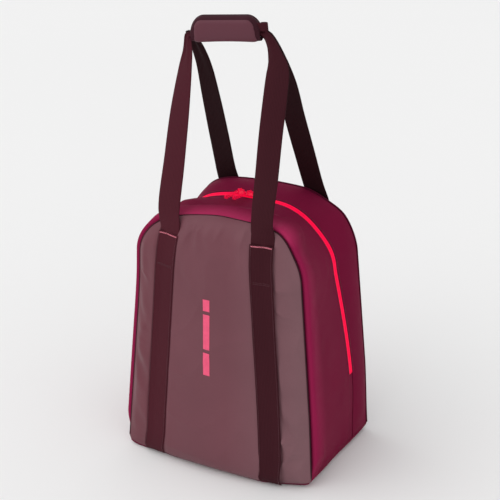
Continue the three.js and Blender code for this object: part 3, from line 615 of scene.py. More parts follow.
def webbing_paint(name, colour, right=1.0):
    """Ribbed webbing. `right` is how bright it is painted on the bag's right side, 1 on the left, as painted
    shade where less light falls.
    """
    paint = Paint(name, colour, 0.74, specular=0.1, sheen=0.04, sheen_tint=srgb(150, 110, 120))
    # Painted shade: darker towards the bag's right side when `right` is below 1.
    paint.vary(paint.span("X", -BASE_WIDTH / 2, BASE_WIDTH / 2), *grey(1, right))
    ribs = paint.ribs(2.3, "X")
    picks = paint.ribs(1.1, "Y", 0.5)
    paint.vary(ribs, *grey(0.8, 1.12), from_low=0.05, from_high=0.7)
    paint.vary(picks, *grey(0.9, 1.05), from_low=0.1, from_high=0.8)
    paint.mottle(70, 0.93, 1.08)
    paint.bump(ribs, 0.3, 0.8)
    paint.bump(picks, 0.12, 0.6)
    return paint.material


def binding_paint():
    paint = Paint("dark binding", srgb(56, 20, 31), 0.62, specular=0.12, sheen=0.04)
    paint.mottle(30, 0.88, 1.12)
    paint.bump(paint.ribs(0.8, "Y", 0.4), 0.12, 0.6)
    return paint.material


def lining_paint():
    paint = Paint("charcoal lining", srgb(48, 46, 52), 0.7, specular=0.3)
    paint.mottle(90, 0.88, 1.12)
    paint.bump(paint.noise(35, 4), 1.4, 0.35)
    paint.bump(paint.weave(0.7), 0.1, 0.5)
    return paint.material


def grained_paint(name, colour, roughness, mottle, grain, **values):
    """Mottled, with raised cells. Mottle and grain are what Paint.mottle and Paint.bump take."""
    paint = Paint(name, colour, roughness, **values)
    paint.mottle(*mottle)
    size, depth, strength = grain
    paint.bump(paint.grain(size), depth, strength)
    return paint.material


def foam_paint():
    return grained_paint("grey foam", srgb(140, 140, 143), 0.95, (2.2, 0.82, 1.08, 4), (1.1, 0.5, 0.7),
                         specular=0.15)


def board_paint():
    return grained_paint("stiffener board", srgb(34, 34, 37), 0.55, (14, 0.8, 1.15, 5), (1.6, 0.12, 0.5))


def pile_paint():
    return grained_paint("hook and loop", srgb(40, 20, 27), 0.9, (0.9, 0.6, 1.4), (0.7, 0.4, 0.9),
                         specular=0.15, sheen=0.3)


def print_paint():
    return grained_paint("pink print", srgb(236, 84, 122), 0.5, (6, 0.92, 1.05, 4), (0.9, 0.06, 0.4),
                         specular=0.35)


# The colour of the painted glow that the zip and its small parts give off.
PAINTED_GLOW_COLOUR = srgb(255, 8, 70)


def zip_tape_paint():
    pink = srgb(255, 120, 150)
    paint = Paint("zip tape", srgb(252, 12, 72), 0.6, specular=0.08, sheen=0.05, sheen_tint=pink)
    twill = paint.ribs(0.75, "Y", 0.4)
    paint.mottle(25, 0.92, 1.06)
    paint.vary(twill, *grey(0.88, 1.04), from_low=0.0, from_high=0.7)
    paint.bump(twill, 0.12, 0.7)
    # Painted glow: the tape gives off light of its own to look brighter.
    return paint.painted_glow(PAINTED_GLOW_COLOUR, 0.33)


def neon_paint(name, colour, roughness, size=0.8):
    """Moulded or painted neon small parts: fine grain, rubbed smoother in places, with a painted glow."""
    paint = Paint(name, colour, roughness, specular=0.1)
    paint.mottle(9, 0.92, 1.05, 4)
    paint.rough(paint.noise(5, 4), roughness - 0.1, roughness + 0.12)
    paint.bump(paint.grain(size), 0.05, 0.4)
    # Painted glow: these parts give off light of their own to look brighter.
    return paint.painted_glow(PAINTED_GLOW_COLOUR, 0.3)


def thread_paint(name, colour):
    paint = Paint(name, colour, 0.5, specular=0.4, sheen=0.2)
    paint.mottle(0.8, 0.75, 1.1)
    paint.bump(paint.noise(0.5, 2), 0.1, 0.6)
    return paint.material


# Both tarpaulins carry the painted reflection on the right and the painted shade on the left.
TARPAULIN = tarpaulin_paint()
GRIP_TARPAULIN = tarpaulin_paint("grip tarpaulin", srgb(92, 50, 60))
# Both polyesters carry the painted sheen near the front seam.
POLYESTER = polyester_paint()
SEAM_POLYESTER = polyester_paint("burgundy seam cloth", srgb(84, 12, 40))
# The front webbing is painted darker on the bag's right side, painted shade.
FRONT_WEBBING = webbing_paint("plum webbing", srgb(80, 30, 41), right=0.62)
# The rear webbing is the same plum webbing, painted darker all over as painted shade.
PAINTED_SHADE_WEBBING = webbing_paint("plum webbing in painted shade", srgb(41, 14, 19))
BINDING = binding_paint()
LINING_CLOTH = lining_paint()
FOAM_PAINT = foam_paint()
BOARD_PAINT = board_paint()
ZIP_TAPE = zip_tape_paint()
# The coil, slider, pull ends and cords all carry a painted glow.
ZIP_COIL = neon_paint("zip coil", srgb(238, 12, 68), 0.4)
SLIDER_PAINT = neon_paint("painted slider", srgb(214, 18, 62), 0.32)
RUBBER = neon_paint("moulded rubber", srgb(232, 8, 62), 0.6, size=0.5)
PULL_CORD = neon_paint("braided cord", srgb(228, 10, 62), 0.75, size=0.4)
PINK_THREAD = thread_paint("pink thread", srgb(238, 130, 150))
DARK_THREAD = thread_paint("plum thread", srgb(88, 34, 48))
WINE_THREAD = thread_paint("burgundy thread", srgb(96, 20, 46))
PILE = pile_paint()
PRINT = print_paint()


# ---- camera, light and floor ---------------------------------------------------------------
AZIMUTH = math.radians(27.22)
ELEVATION = math.radians(27.41)
CAMERA_DISTANCE = 3.092
CAMERA_TARGET = Vector((0, 0, 0.3387))
LENS = 144
SENSOR = 36


def add_camera():
    data = bpy.data.cameras.new("camera")
    data.lens = LENS
    data.sensor_width = SENSOR
    camera = bpy.data.objects.new("camera", data)
    level = math.cos(ELEVATION)
    way = Vector((math.sin(AZIMUTH) * level, -math.cos(AZIMUTH) * level, math.sin(ELEVATION)))
    camera.location = CAMERA_TARGET + way * CAMERA_DISTANCE
    camera.rotation_euler = (-way).to_track_quat("-Z", "Y").to_euler()
    bpy.context.scene.collection.objects.link(camera)
    bpy.context.scene.camera = camera


def add_sun(name, way, strength, softness):
    """Light that comes from one side, as from a large window far away."""
    data = bpy.data.lights.new(name, "SUN")
    data.energy = strength
    data.angle = math.radians(softness)
    light = bpy.data.objects.new(name, data)
    light.rotation_euler = (-Vector(way)).to_track_quat("-Z", "Y").to_euler()
    bpy.context.scene.collection.objects.link(light)


def add_studio():
    world = bpy.data.worlds.new("studio")
    world.use_nodes = True
    background = world.node_tree.nodes["Background"]
    background.inputs["Color"].default_value = WHITE
    background.inputs["Strength"].default_value = 0.66
    bpy.context.scene.world = world
    add_sun("window sun", (-0.5, -0.45, 0.74), 1.35, 85)
    add_sun("fill sun", (0.8, -0.5, 0.35), 0.4, 70)
    bpy.context.scene.view_settings.view_transform = "Standard"
    floor_paint = Paint("floor", srgb(240, 240, 240), 0.85, specular=0.1)
    floor_paint.mottle(900, 0.99, 1.0, 2)
    bpy.ops.mesh.primitive_plane_add(size=60, location=(0, 0, -0.0005))
    floor = bpy.context.object
    floor.name = "floor"
    floor.data.materials.append(floor_paint.material)


# ---- panels --------------------------------------------------------------------------------
SEAM_ROLL = 3.2                   # the padded panel rounds over into its seam
SEAM_REACH = 7
STRAP_PRESS = 1.3                 # the straps press this far into the padding
PANEL_COLUMNS = 150
STRAP_SHIFT = {"front": -0.5, "rear": -6}
STRAP_SPREAD_BASE = 106
STRAP_SPREAD_TOP = 78
STITCH_Z = {"front": 414, "rear": 386}


def strap_centre(face, side, z):
    low, high = STRAP_SPREAD_BASE, STRAP_SPREAD_TOP
    return STRAP_SHIFT[face] + side * (low + (high - low) * z / STITCH_Z["front"])


def on_strap(face, x, z):
    """1 under a sewn strap and 0 away from it."""
    under = 0
    for side in (-1, 1):
        off = np.abs(x - strap_centre(face, side, z)) - WEBBING_WIDTH / 2
        under = under + smoothstep((5 - off) / 9)
    return under * smoothstep((STITCH_Z[face] + 6 - z) / 12)


def plain_bulge(section, most, x, z, inset=0):
    across = np.minimum(np.abs(x) / np.maximum(section.half_width(z, inset), 1), 1)
    along = np.minimum(np.abs(2 * z - section.height) / (section.height - 2 * inset), 1)
    return most * (1 - across**BULGE_ROUND) * np.sqrt(1 - along**BULGE_SQUARE)


def front_wrinkles(x, z):
    """The folds of the coated front: under its top seam, on its right strip and low down."""
    top = np.exp(-np.maximum(FRONT.height - z, 0) / 34)
    puckers = 5 * top * noise(x / 13 + 0.8 * noise(x / 40, z / 30, 5), z / 70, 3)
    puckers = puckers + 3.4 * top * creases(z, x, 70, 24, 0.25, 15)
    right = smoothstep((x - 84) / 30)
    left = smoothstep((-x - 112) / 25)
    folds = creases(x, z, 70, 24, -0.6, 21) * smoothstep((z - 150) / 120)
    low_folds = creases(x, z, 60, 22, 0.6, 33) * smoothstep((190 - z) / 110)
    middle = 1.1 * creases(x, z, 150, 80, 0.25, 47)
    ripples = noise(z / 32 + x / 28, (x - z) / 120, 27)
    sides = right * (4.5 * folds + 4.5 * low_folds + 5.5 * ripples) + left * (4 * folds + 4 * ripples)
    return puckers + sides + middle + 0.9 * rolling(x, z, 130, 11)


def back_wrinkles(x, z):
    top = np.exp(-np.maximum(BACK.height - z, 0) / 30)
    folds = 1.1 * creases(x, z, 120, 60, 0.35, 71) + 0.9 * creases(x, z, 90, 55, -0.6, 77)
    return 1.2 * top * noise(x / 16, z / 60, 63) + folds + 1.1 * rolling(x, z, 110, 61)


def panel_out(face, section, most, wrinkles, x, z):
    """How far the cloth of a padded panel stands out of its seam plane."""
    inside = section.seam_distance(x, z)
    edge = 1 - np.exp(-inside / SEAM_REACH)
    under = on_strap(face, x, z)
    free = smoothstep(inside / 14) * (1 - 0.85 * under)
    return plain_bulge(section, most, x, z) + SEAM_ROLL * edge + wrinkles(x, z) * free - STRAP_PRESS * under


def front_out(x, z):
    return panel_out("front", FRONT, FRONT_BULGE, front_wrinkles, x, z)


def back_out(x, z):
    return panel_out("rear", BACK, BACK_BULGE, back_wrinkles, x, z)


def panel_rows(section, inset=0):
    """Heights of a panel's rows, close together where its outline is round."""
    turn = np.linspace(0, math.pi / 2, 12)
    low = BASE_CORNER - (BASE_CORNER - inset) * np.cos(turn)
    high = section.corner_z + (section.radius - inset) * np.sin(np.linspace(0, math.pi / 2, 34))
    middle = np.linspace(BASE_CORNER, section.corner_z, 110)[1:-1]
    return np.concatenate([low, middle, high])


def panel_grid(direction, section, out, inset=0, depth=0, columns=PANEL_COLUMNS):
    """Points of a panel. `out` gives its height above the seam plane, and it lies `depth` behind that."""
    z = panel_rows(section, inset)[:, None]
    x = section.half_width(z, inset) * np.linspace(-1, 1, columns)[None]
    z = np.broadcast_to(z, x.shape)
    return settle(on_panel(direction, section, x, z, out(x, z) - depth))


def add_front():
    grid = panel_grid(-1, FRONT, front_out)
    panel = cloth("front_panel_cloth", grid, CLOTH, TARPAULIN, (0, -1, 0))
    stand_in(panel, "root", "front_panel")


def add_back():
    grid = panel_grid(1, BACK, back_out)
    panel = cloth("back_panel_cloth", grid, CLOTH, POLYESTER, (0, 1, 0))
    stand_in(panel, FOLDED, "back_panel_lower", "back_panel_upper")


INNER_INSET = 5.6


def add_pads(name, direction, section, most, body, halves):
    """The foam and lining behind a padded panel."""
    def out(x, z):
        return plain_bulge(section, most, x, z, INNER_INSET)

    def grid(depth):
        return panel_grid(direction, section, out, INNER_INSET, depth, columns=70)

    outward = (0, direction, 0)
    foam_grid = grid(LAYER + 0.3)
    inside = section.seam_distance(foam_grid[..., 0], foam_grid[..., 2]) - INNER_INSET
    crown = 0.35 + 0.65 * np.sqrt(smoothstep(inside / 12))
    foam = cloth(f"{name}_foam_core", foam_grid, (FOAM - 0.6) * crown, FOAM_PAINT, outward)
    lining_grid = grid(LAYER + FOAM + 0.6)
    lining = cloth(f"{name}_lining_cloth", lining_grid, LINING, LINING_CLOTH, outward)
    stand_in(foam, body, *[f"{name}_foam_pad{half}" for half in halves])
    stand_in(lining, body, *[f"{name}_lining{half}" for half in halves])


# ---- gussets -------------------------------------------------------------------------------
DOME_MIDDLE = 160
GUSSET_LIFT = 0.3
TAPE_COVER = 1.2                  # the gussets lap over the zip tapes this far
FOLD_RISE = 11                    # the top rises from the front seam to a crease
SHOULDER = 15                     # the left shoulder stands up between the front seam and the zip
DENT = 4                          # and sinks between the crease and the zip


def dome_grid(ys, inset, from_z, **steps):
    """Points over the dome, a row for each depth."""
    rows = []
    for y in ys:
        section = Section(y)
        outline = section.arch(inset, from_z, **steps)
        rows.append(placed(section, outline[:, 0], y, outline[:, 1]))
    return settle(np.stack(rows))


def outward_of(points):
    """Away from the middle of the dome."""
    return points - (0, 0, DOME_MIDDLE)


def out_of_seam(path):
    """Unit vectors away from the middle of the dome, across the bag and upwards only."""
    up = outward_of(path) * (1, 0, 1)
    return up / np.linalg.norm(up, axis=1, keepdims=True)


def front_gusset_lift(grid, ys):
    """The top's crease, which runs back to the right, the dent behind it and the left shoulder."""
    x, y, z = grid[..., 0], grid[..., 1], grid[..., 2]
    top = smoothstep((z - 392) / 30)
    seam = np.clip((ys - GUSSET_FRONT) / (ZIP_Y - ZIP_BAND - GUSSET_FRONT), 0, 1)[:, None]
    crease = np.clip(0.22 + 0.0011 * (x + 60), 0.16, 0.5)
    ramp = np.where(seam < crease, seam / crease, np.maximum(1 - (seam - crease) / 0.3, 0))
    fold = FOLD_RISE * top * ramp
    dent = -DENT * top * bump_at(seam, crease + 0.3, 0.16) * smoothstep((130 - np.abs(x)) / 50)
    side = 1 - top
    soft = 1.4 * rolling(y, z + 0.3 * x, 120, 91) + side * 0.9 * creases(y, z, 130, 60, 1.2, 97)
    shoulder = SHOULDER * bump_at(x, -98, 32) * bump_at(seam, 0.62, 0.3) * smoothstep((z - 330) / 60)
    free = smoothstep(seam / 0.12) * smoothstep((1 - seam) / 0.12)
    return fold + (dent + soft + shoulder) * free


def rear_gusset_lift(grid, ys):
    x, y, z = grid[..., 0], grid[..., 1], grid[..., 2]
    rows = ((ys - ys[0]) / (ys[-1] - ys[0]))[:, None]
    free = smoothstep(rows / 0.2) * smoothstep((1 - rows) / 0.2)
    soft = 1.1 * rolling(y + 300, z + 0.4 * x, 100, 103) + 0.7 * creases(z, x, 90, 60, 0.4, 107)
    return soft * free * smoothstep((z - BASE_CORNER) / 60)


def add_gussets():
    low = BASE_CORNER + 0.4
    eased = np.linspace(0, 1, 46) ** 1.5
    front_edge, rear_edge = TAPE_FRONT + TAPE_COVER, TAPE_BACK - TAPE_COVER
    front_ys = GUSSET_FRONT + (front_edge - GUSSET_FRONT) * eased
    rear_ys = np.linspace(rear_edge, GUSSET_BACK, 25)
    front = dome_grid(front_ys, GUSSET_LIFT, low)
    rear = dome_grid(rear_ys, GUSSET_LIFT, low)
    front_piece = cloth("front_gusset_cloth", front, CLOTH, POLYESTER,
                        outward_of(front), front_gusset_lift(front, front_ys))
    rear_piece = cloth("rear_gusset_cloth", rear, CLOTH, POLYESTER,
                       outward_of(rear), rear_gusset_lift(rear, rear_ys))
    stand_in(front_piece, "root", "front_gusset")
    stand_in(rear_piece, FOLDED, "rear_gusset_upper", "rear_gusset_lower_left", "rear_gusset_lower_right")
    coarse = {"side_steps": 26, "arc_steps": 20, "top_steps": 8}
    linings = (
        ("front", "root", front_ys[::3], front_gusset_lift),
        ("rear", FOLDED, rear_ys[::2], rear_gusset_lift),
    )
    for name, body, ys, lift_of in linings:
        grid = dome_grid(ys, LAYER + 1.2, low, **coarse)
        x, y, z = grid[..., 0], grid[..., 1], grid[..., 2]
        sag = np.minimum(lift_of(grid, ys), 0) - 1.2 * (1 + rolling(x + y, z, 60, 113))
        outward = outward_of(grid)
        lining = cloth(f"{name}_dome_lining", grid, LINING, LINING_CLOTH, outward, sag)
        stand_in(lining, body, f"{name}_gusset_lining")


def add_zip_end_tabs():
    """The plain cloth below each end of the zip, with the seam that runs on down to the base."""
    for name, side in (("left", -1), ("right", 1)):
        rows = []
        for y in np.linspace(TAPE_FRONT - 0.4, TAPE_BACK + 0.4, 15):
            section = Section(y)
            z = np.linspace(BASE_CORNER + 0.4, ZIP_END - 0.2, 40)
            groove = 1.5 * bump_at(y, TAPE_BACK - 1.5, 1.3)
            x = section.half_width(z, GUSSET_LIFT + groove)
            rows.append(placed(section, side * x, y, z))
        grid = settle(np.stack(rows))
        tab = cloth(f"zip_end_cloth_{name}", grid, CLOTH, POLYESTER, (side, 0, 0))
        stand_in(tab, "root", f"zip_end_tab_{name}")


# ---- base ----------------------------------------------------------------------------------
def add_base():
    rows = []
    turn = np.linspace(0, math.pi / 2, 14)
    levels = BASE_CORNER * (1 - np.sin(turn))
    for y in np.linspace(GUSSET_FRONT, GUSSET_BACK, 30):
        section = Section(y)
        x = section.half_width(levels, 0)
        flat = np.linspace(x[-1], -x[-1], 40)[1:-1]
        over = np.concatenate([x, flat, -x[::-1]])
        z = np.concatenate([levels, np.zeros(len(flat)), levels[::-1]])
        rows.append(placed(section, over, y, z))
    grid = settle(np.stack(rows))
    panel = cloth("base_cloth", grid, CLOTH, POLYESTER, (0, 0, -1))
    stand_in(panel, "root", "base_panel")
    low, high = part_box("base_lining")
    width, depth = (high.x - low.x) / MM / 2, (high.y - low.y) / MM / 2
    x, y = np.meshgrid(np.linspace(-width, width, 60), np.linspace(-depth, depth, 44), indexing="ij")
    edge = smoothstep(np.minimum(width - np.abs(x), depth - np.abs(y)) / 14)
    z = high.z / MM - 0.1 + edge * 0.5 * (1 + rolling(x, y, 50, 121)) * 0.5
    grid = np.stack([x, y, z], -1)
    lining = cloth("base_lining_cloth", grid, LINING - 0.3, LINING_CLOTH, (0, 0, 1))
    stand_in(lining, "root", "base_lining")
    soften(paint_node("base_stiffener_board", BOARD_PAINT), 0.5)


def paint_node(name, material):
    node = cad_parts[name]
    node.data.materials.clear()
    node.data.materials.append(material)
    return node


def soften(node, width, levels=0):
    """Rounds the edges of a carried-over CAD node."""
    bevel = node.modifiers.new("edges", "BEVEL")
    bevel.width = width * MM
    bevel.segments = 3
    bevel.limit_method = "ANGLE"
    if levels:
        rounding = node.modifiers.new("rounding", "SUBSURF")
        rounding.levels = levels
        rounding.render_levels = levels


# ---- seams ---------------------------------------------------------------------------------
def arch_line(y, inset, from_z):
    """One line of points over the dome."""
    return dome_grid([y], inset, from_z)[0]


def add_piping():
    front_line = arch_line(FRONT_Y, 0, BASE_CORNER)
    front = tube("front_seam_piping", front_line, PIPING_RADIUS, BINDING)
    rear_line = arch_line(BACK_Y, 0.2, BASE_CORNER)
    rear = tube("rear_seam_piping", rear_line, PIPING_RADIUS + 0.5, SEAM_POLYESTER)
    stand_in(front, "root", "front_piping")
    stand_in(rear, FOLDED, "rear_piping")


def add_base_binding():
    """The dark binding along the bottom edge of the front panel."""
    side = FRONT.half_width(BASE_CORNER / 3, 0)
    x = np.linspace(-side, side, 80)
    z = BASE_BINDING_RADIUS + 0.2 + BASE_CORNER / 3 * (np.abs(x) / side) ** 16
    path = settle(on_panel(-1, FRONT, x, z, front_out(x, z)))
    stand_in(tube("front_base_binding", path, BASE_BINDING_RADIUS, SEAM_POLYESTER), "root")


def seam_stitches(name, y, inset, from_z, body):
    """A row of stitches beside a seam or the zip."""
    path = arch_line(y, inset, from_z)
    row = running_stitch(path, out_of_seam(path), 3.6, 2.5)
    stand_in(stitches(name, *row, 0.35, WINE_THREAD, "thread"), body)


# ---- zip -----------------------------------------------------------------------------------
TAPE = 1.1
TAPE_INSET = 0.2
TAPE_HIDDEN = 1.2                 # how far each tape runs on under its gusset
COIL_PITCH = 1.5
COIL_WIDTH = 2.5
TAPE_PARTING = 0.55               # half of the gap between the tapes, which the slider's web runs in


def tape_grid(outer_y, inner_y):
    """A zip tape from its sewn edge, under the gusset, to the slot, with a woven bead beside it."""
    across = np.linspace(0, 1, 11)
    ys = outer_y + (inner_y - outer_y) * across
    under = 1.7 * (1 - smoothstep((across - 0.18) / 0.22))
    profile = TAPE_INSET + 0.1 + under - 0.7 * bump_at(across, 0.8, 0.2) + 0.7 * bump_at(across, 1.04, 0.07)
    return np.concatenate([dome_grid([y], inset, ZIP_END + 0.2) for y, inset in zip(ys, profile)])


def coil_teeth(name, inner_y, direction):
    """The coil under a tape's edge: one small rounded turn at each pitch."""
    path = arch_line(inner_y + direction * 1.15, TAPE_INSET + TAPE + 1.4, ZIP_END + 0.6)
    at = lengths(path[None], 1)[0]
    centre = between(path, at, np.arange(COIL_PITCH, at[-1], COIL_PITCH))
    half = np.array((0, COIL_WIDTH / 2, 0))
    return stitches(name, centre - half, centre + half, out_of_seam(centre), 0.62, ZIP_COIL, "zip_coil")


def add_zip():
    for name, body, direction, outer in (("front", "root", -1, TAPE_FRONT), ("rear", FOLDED, 1, TAPE_BACK)):
        inner = ZIP_Y + direction * TAPE_PARTING
        grid = tape_grid(outer + direction * TAPE_HIDDEN, inner)
        tape = cloth(f"zip_tape_{name}_cloth", grid, TAPE - 0.3, ZIP_TAPE, outward_of(grid))
        stand_in(tape, body, f"zip_tape_{name}")
        coil = coil_teeth(f"zip_coil_{name}_turns", inner, direction)
        stand_in(coil, body, f"zip_coil_{name}")
    for side in ("left", "right"):
        soften(paint_node(f"slider_{side}", SLIDER_PAINT), 0.45)
        soften(paint_node(f"pull_cord_{side}", PULL_CORD), 0.05, 2)
        soften(paint_node(f"pull_end_{side}", RUBBER), 0.4, 2)


# ---- sewn straps ---------------------------------------------------------------------------
HEM_Z = 2
HEM_DRAWN = 6                     # the front straps' hems are drawn towards the bag's left


def strap_surface(face, side):
    """Places on a strap sewn to a panel, from -1 to 1 across it, a height and a lift in mm."""
    direction, out, section = (-1, front_out, FRONT) if face == "front" else (1, back_out, BACK)
    drawn = HEM_DRAWN if face == "front" else 0

    def surface(u, z, lift):
        middle = strap_centre(face, side, z) - drawn * smoothstep((60 - z) / 60)
        x = middle + u * WEBBING_WIDTH / 2
        rest = np.maximum(out(x, z), out(middle, z) - 1.2) + lift
        centre = on_panel(direction, section, middle, z, rest)
        return on_panel(direction, section, x, z, rest) + settle(centre) - centre

    return surface


def add_sewn_strap(direction, side):
    """A strap that is sewn down to a panel, with edge stitches and a box stitch at its top."""
    face = "front" if direction < 0 else "rear"
    surface = strap_surface(face, side)
    name = "left" if side < 0 else "right"
    top = STITCH_Z[face]
    paint = FRONT_WEBBING if direction < 0 else PAINTED_SHADE_WEBBING
    u = np.sin(np.linspace(-math.pi / 2, math.pi / 2, 18))
    z = np.concatenate([np.linspace(HEM_Z, 20, 8)[:-1], np.linspace(20, top, 100)])
    z_grid, u_grid = np.meshgrid(z, u, indexing="ij")
    round_edge = 0.45 + 0.55 * np.sqrt(1 - np.abs(u_grid * 0.999) ** 8)
    grid = surface(u_grid, z_grid, WEBBING * round_edge)
    strap = cloth(f"{face}_strap_{name}_webbing", grid, WEBBING * (2 * round_edge - 0.92), paint,
                  (0, direction, 0))
    threads = []
    for edge in (-0.88, 0.88):
        path = surface(np.full(len(z), edge), z, WEBBING + 0.05)
        threads.append(running_stitch(path, facing(direction, len(z)), 3.4, 2.3))
    for low in (top - 56, top - 58.5):
        threads.append(row_across(surface, low, direction, 0.78, 3.0, 2.2))
    joined = [np.concatenate(part) for part in zip(*threads)]
    edging = stitches(f"{face}_strap_{name}_stitches", *joined, 0.34, DARK_THREAD, "thread")
    cross = stitches(f"{face}_bar_tack_{name}_stitches", *crosses(surface, top - 2.6, direction), 0.32,
                     PINK_THREAD, "thread")
    body, parts = ("root", ("",)) if direction < 0 else (FOLDED, ("_lower", "_upper"))
    stand_in(strap, body, *[f"{face}_strap{part}_{name}" for part in parts])
    stand_in(edging, body)
    stand_in(cross, body, f"{face}_bar_tack_{name}")


def row_across(surface, z, direction, reach, pitch, length):
    """Stitches in a row across a strap at a height."""
    u = np.linspace(-reach, reach, 24)
    path = surface(u, np.full(len(u), float(z)), WEBBING + 0.05)
    return running_stitch(path, facing(direction, len(u)), pitch, length)


def crosses(surface, z, direction, count=10, height=1.9):
    """A row of cross stitches over a strap."""
    edges = np.linspace(-0.9, 0.9, count + 1)
    starts, ends = [], []
    for low, high in zip(edges, edges[1:]):
        for first, last in ((-0.5, 0.5), (0.5, -0.5)):
            ends_of = surface(np.array((low, high)), z + height * np.array((first, last)), WEBBING + 0.15)
            starts.append(ends_of[0])
            ends.append(ends_of[1])
    return np.array(starts), np.array(ends), facing(direction, len(starts))


# ---- handles -------------------------------------------------------------------------------
GRIP_CENTRE = np.array((-29.0, -20.0, 706.0))
GRIP_LENGTH = 106
GRIP_HEIGHT = 40
GRIP_THICKNESS = 25
GRIP_YAW = math.radians(12)
GRIP_RISE = math.radians(6)
PARTING = 0.4
RUN_OFFSET = 2.8
HIDDEN_START = 4                  # each leg starts inside the end of its sewn strap
UPRIGHT_START = 9
# Through the grip: how far along, 1 at its ends, height, width and thickness.
RUN_STATIONS = (
    (-1.04, -9, 10, 4.4), (-0.88, -4, 14, 4), (-0.74, 0, 18, 4), (0, 0, 18, 4),
    (0.74, 0, 18, 4), (0.88, -3, 15, 4), (1.04, -7, 12, 4.2),
)

# The routes of the handles' legs, from above the stitch line to the grip, as in the CAD source:
# place, width, thickness, and how far the flat side has turned towards the bag's right, in degrees.
# Where a leg is turned, the webbing is as much wider here as the turn takes off its width.
HANDLE_LEGS = {
    "front": (
        ((-84, -103, 443, 36, 2, 0), (-84, -84, 512, 36, 2, -4), (-85, -62, 585, 35, 2, -12),
         (-85.5, -44, 640, 29, 2.4, -22), (-84.3, -37, 666, 19, 3.6, -25), (-85, -35, 680, 13, 4.6, -20),
         (-84.6, -34, 689, 11, 5, -12)),
        ((72, -103, 443, 36, 2, 0), (70, -84, 512, 36, 2, 6), (66.8, -64, 575, 36, 2, 10),
         (64.8, -46, 628, 36, 2, 10), (60.3, -30, 664, 34, 2.2, 4), (53, -24, 680, 25, 3, 0),
         (46, -19, 692, 20, 3.8, 0), (36, -14.5, 702, 16, 4.4, 0)),
    ),
    "rear": (
        ((-88.6, 91, 424, 36, 2, 0), (-87.6, 64, 497, 35, 2, 0), (-86, 38, 567, 32, 2.2, 0),
         (-85, 14, 628, 26, 2.8, 0), (-85.5, -6, 664, 20, 3.6, 0), (-86, -18, 681, 14, 4.6, 0),
         (-88, -25.5, 690.5, 10, 4.6, 0)),
        ((65.5, 91, 424, 35, 2, 0), (60, 68, 487, 36, 2, 0), (52.5, 44, 560, 36, 2, 0),
         (49.8, 22, 620, 34, 2.2, 0), (45.5, 7, 660, 26, 2.8, 0), (41.5, -1, 684, 18, 3.8, 0),
         (34, -5, 700, 14, 4.4, 0)),
    ),
}
GRIP_ALONG = np.array((math.cos(GRIP_RISE) * math.cos(GRIP_YAW), math.cos(GRIP_RISE) * math.sin(GRIP_YAW),
                       math.sin(GRIP_RISE)))
GRIP_FRONT = np.array((math.sin(GRIP_YAW), -math.cos(GRIP_YAW), 0))
GRIP_UP = np.cross(GRIP_ALONG, GRIP_FRONT)
GRIP_UP = GRIP_UP * np.sign(GRIP_UP[2])


def grip_point(along, out, up):
    """Places from distances along the grip, towards its front and up, in mm."""
    along, out, up = np.broadcast_arrays(along, out, up)
    return GRIP_CENTRE + along[..., None] * GRIP_ALONG + out[..., None] * GRIP_FRONT + up[..., None] * GRIP_UP


def leg_rows(face, direction, side, legs):
    """Rows of place, facing, width and thickness, from the end of the sewn strap up to the grip."""
    surface = strap_surface(face, side)
    top = STITCH_Z[face]
    left, middle, right, below = (surface(u, np.array(float(z)), WEBBING / 2)
                                  for u, z in ((-0.6, top), (0, top), (0.6, top), (0, top - 8)))
    up = (middle - below) / np.linalg.norm(middle - below)
    normal = np.cross(right - left, up)
    normal *= direction * np.sign(normal[1]) / np.linalg.norm(normal)
    start = ((-HIDDEN_START, 0.7 * WEBBING), (UPRIGHT_START, WEBBING))
    rows = [[*(middle + rise * up), *normal, WEBBING_WIDTH, thick] for rise, thick in start]
    for x, y, z, width, thick, turn in legs:
        angle = math.radians(turn)
        place = settle(np.array((x, y, z), float))
        rows.append([*place, math.sin(angle), direction * math.cos(angle), 0, width, thick])
    return rows


def add_handle(face, direction):
    left = leg_rows(face, direction, -1, HANDLE_LEGS[face][0])
    right = leg_rows(face, direction, 1, HANDLE_LEGS[face][1])
    run = []
    for t, up, width, thick in RUN_STATIONS:
        place = grip_point(t * GRIP_LENGTH / 2, -direction * RUN_OFFSET, up)
        run.append([*place, *(-direction * GRIP_FRONT), width, thick])
    rows = smooth_path(left + run + right[::-1], 5)
    path, facing, width, thick = rows[:, :3], rows[:, 3:6], rows[:, 6], rows[:, 7]
    along = directions(path)
    across = np.cross(along, facing)
    across /= np.linalg.norm(across, axis=1, keepdims=True)
    out = np.cross(across, along)
    out /= np.linalg.norm(out, axis=1, keepdims=True)
    rings = []
    for i in range(len(path)):
        gathered = smoothstep((WEBBING_WIDTH - width[i]) / 18)
        ring = rounded_strip(width[i], min(thick[i], WEBBING + 0.6 * gathered), 22)
        folds = gathered**2 * 1.3 * np.sin(ring[:, 0] / width[i] * 3 * math.pi + 0.6)
        curl = 0.9 * (1 - gathered) * (2 * ring[:, 0] / width[i]) ** 2
        rings.append(path[i] + ring[:, :1] * across[i] + (ring[:, 1:] + (folds - curl)[:, None]) * out[i])
    paint = FRONT_WEBBING if face == "front" else PAINTED_SHADE_WEBBING
    webbing = loft(f"{face}_handle_strap", rings, paint)
    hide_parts(f"{face}_handle_webbing")
    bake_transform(webbing)


# ---- grip ----------------------------------------------------------------------------------
GRIP_WALL = 1.4
GRIP_SQUARE = 0.8                 # below 1, the grip's section is squarer than an ellipse
PATCH_HIGH = 0.23 * math.pi       # the patch's edges round the grip, from its top edge
PATCH_LOW = 0.95 * math.pi
PATCH_REACH = 0.93                # its ends, 1 at the grip's
PATCH_SLANT = 0.09
PATCH_CORNER = 9
PATCH_RISE = 1.5


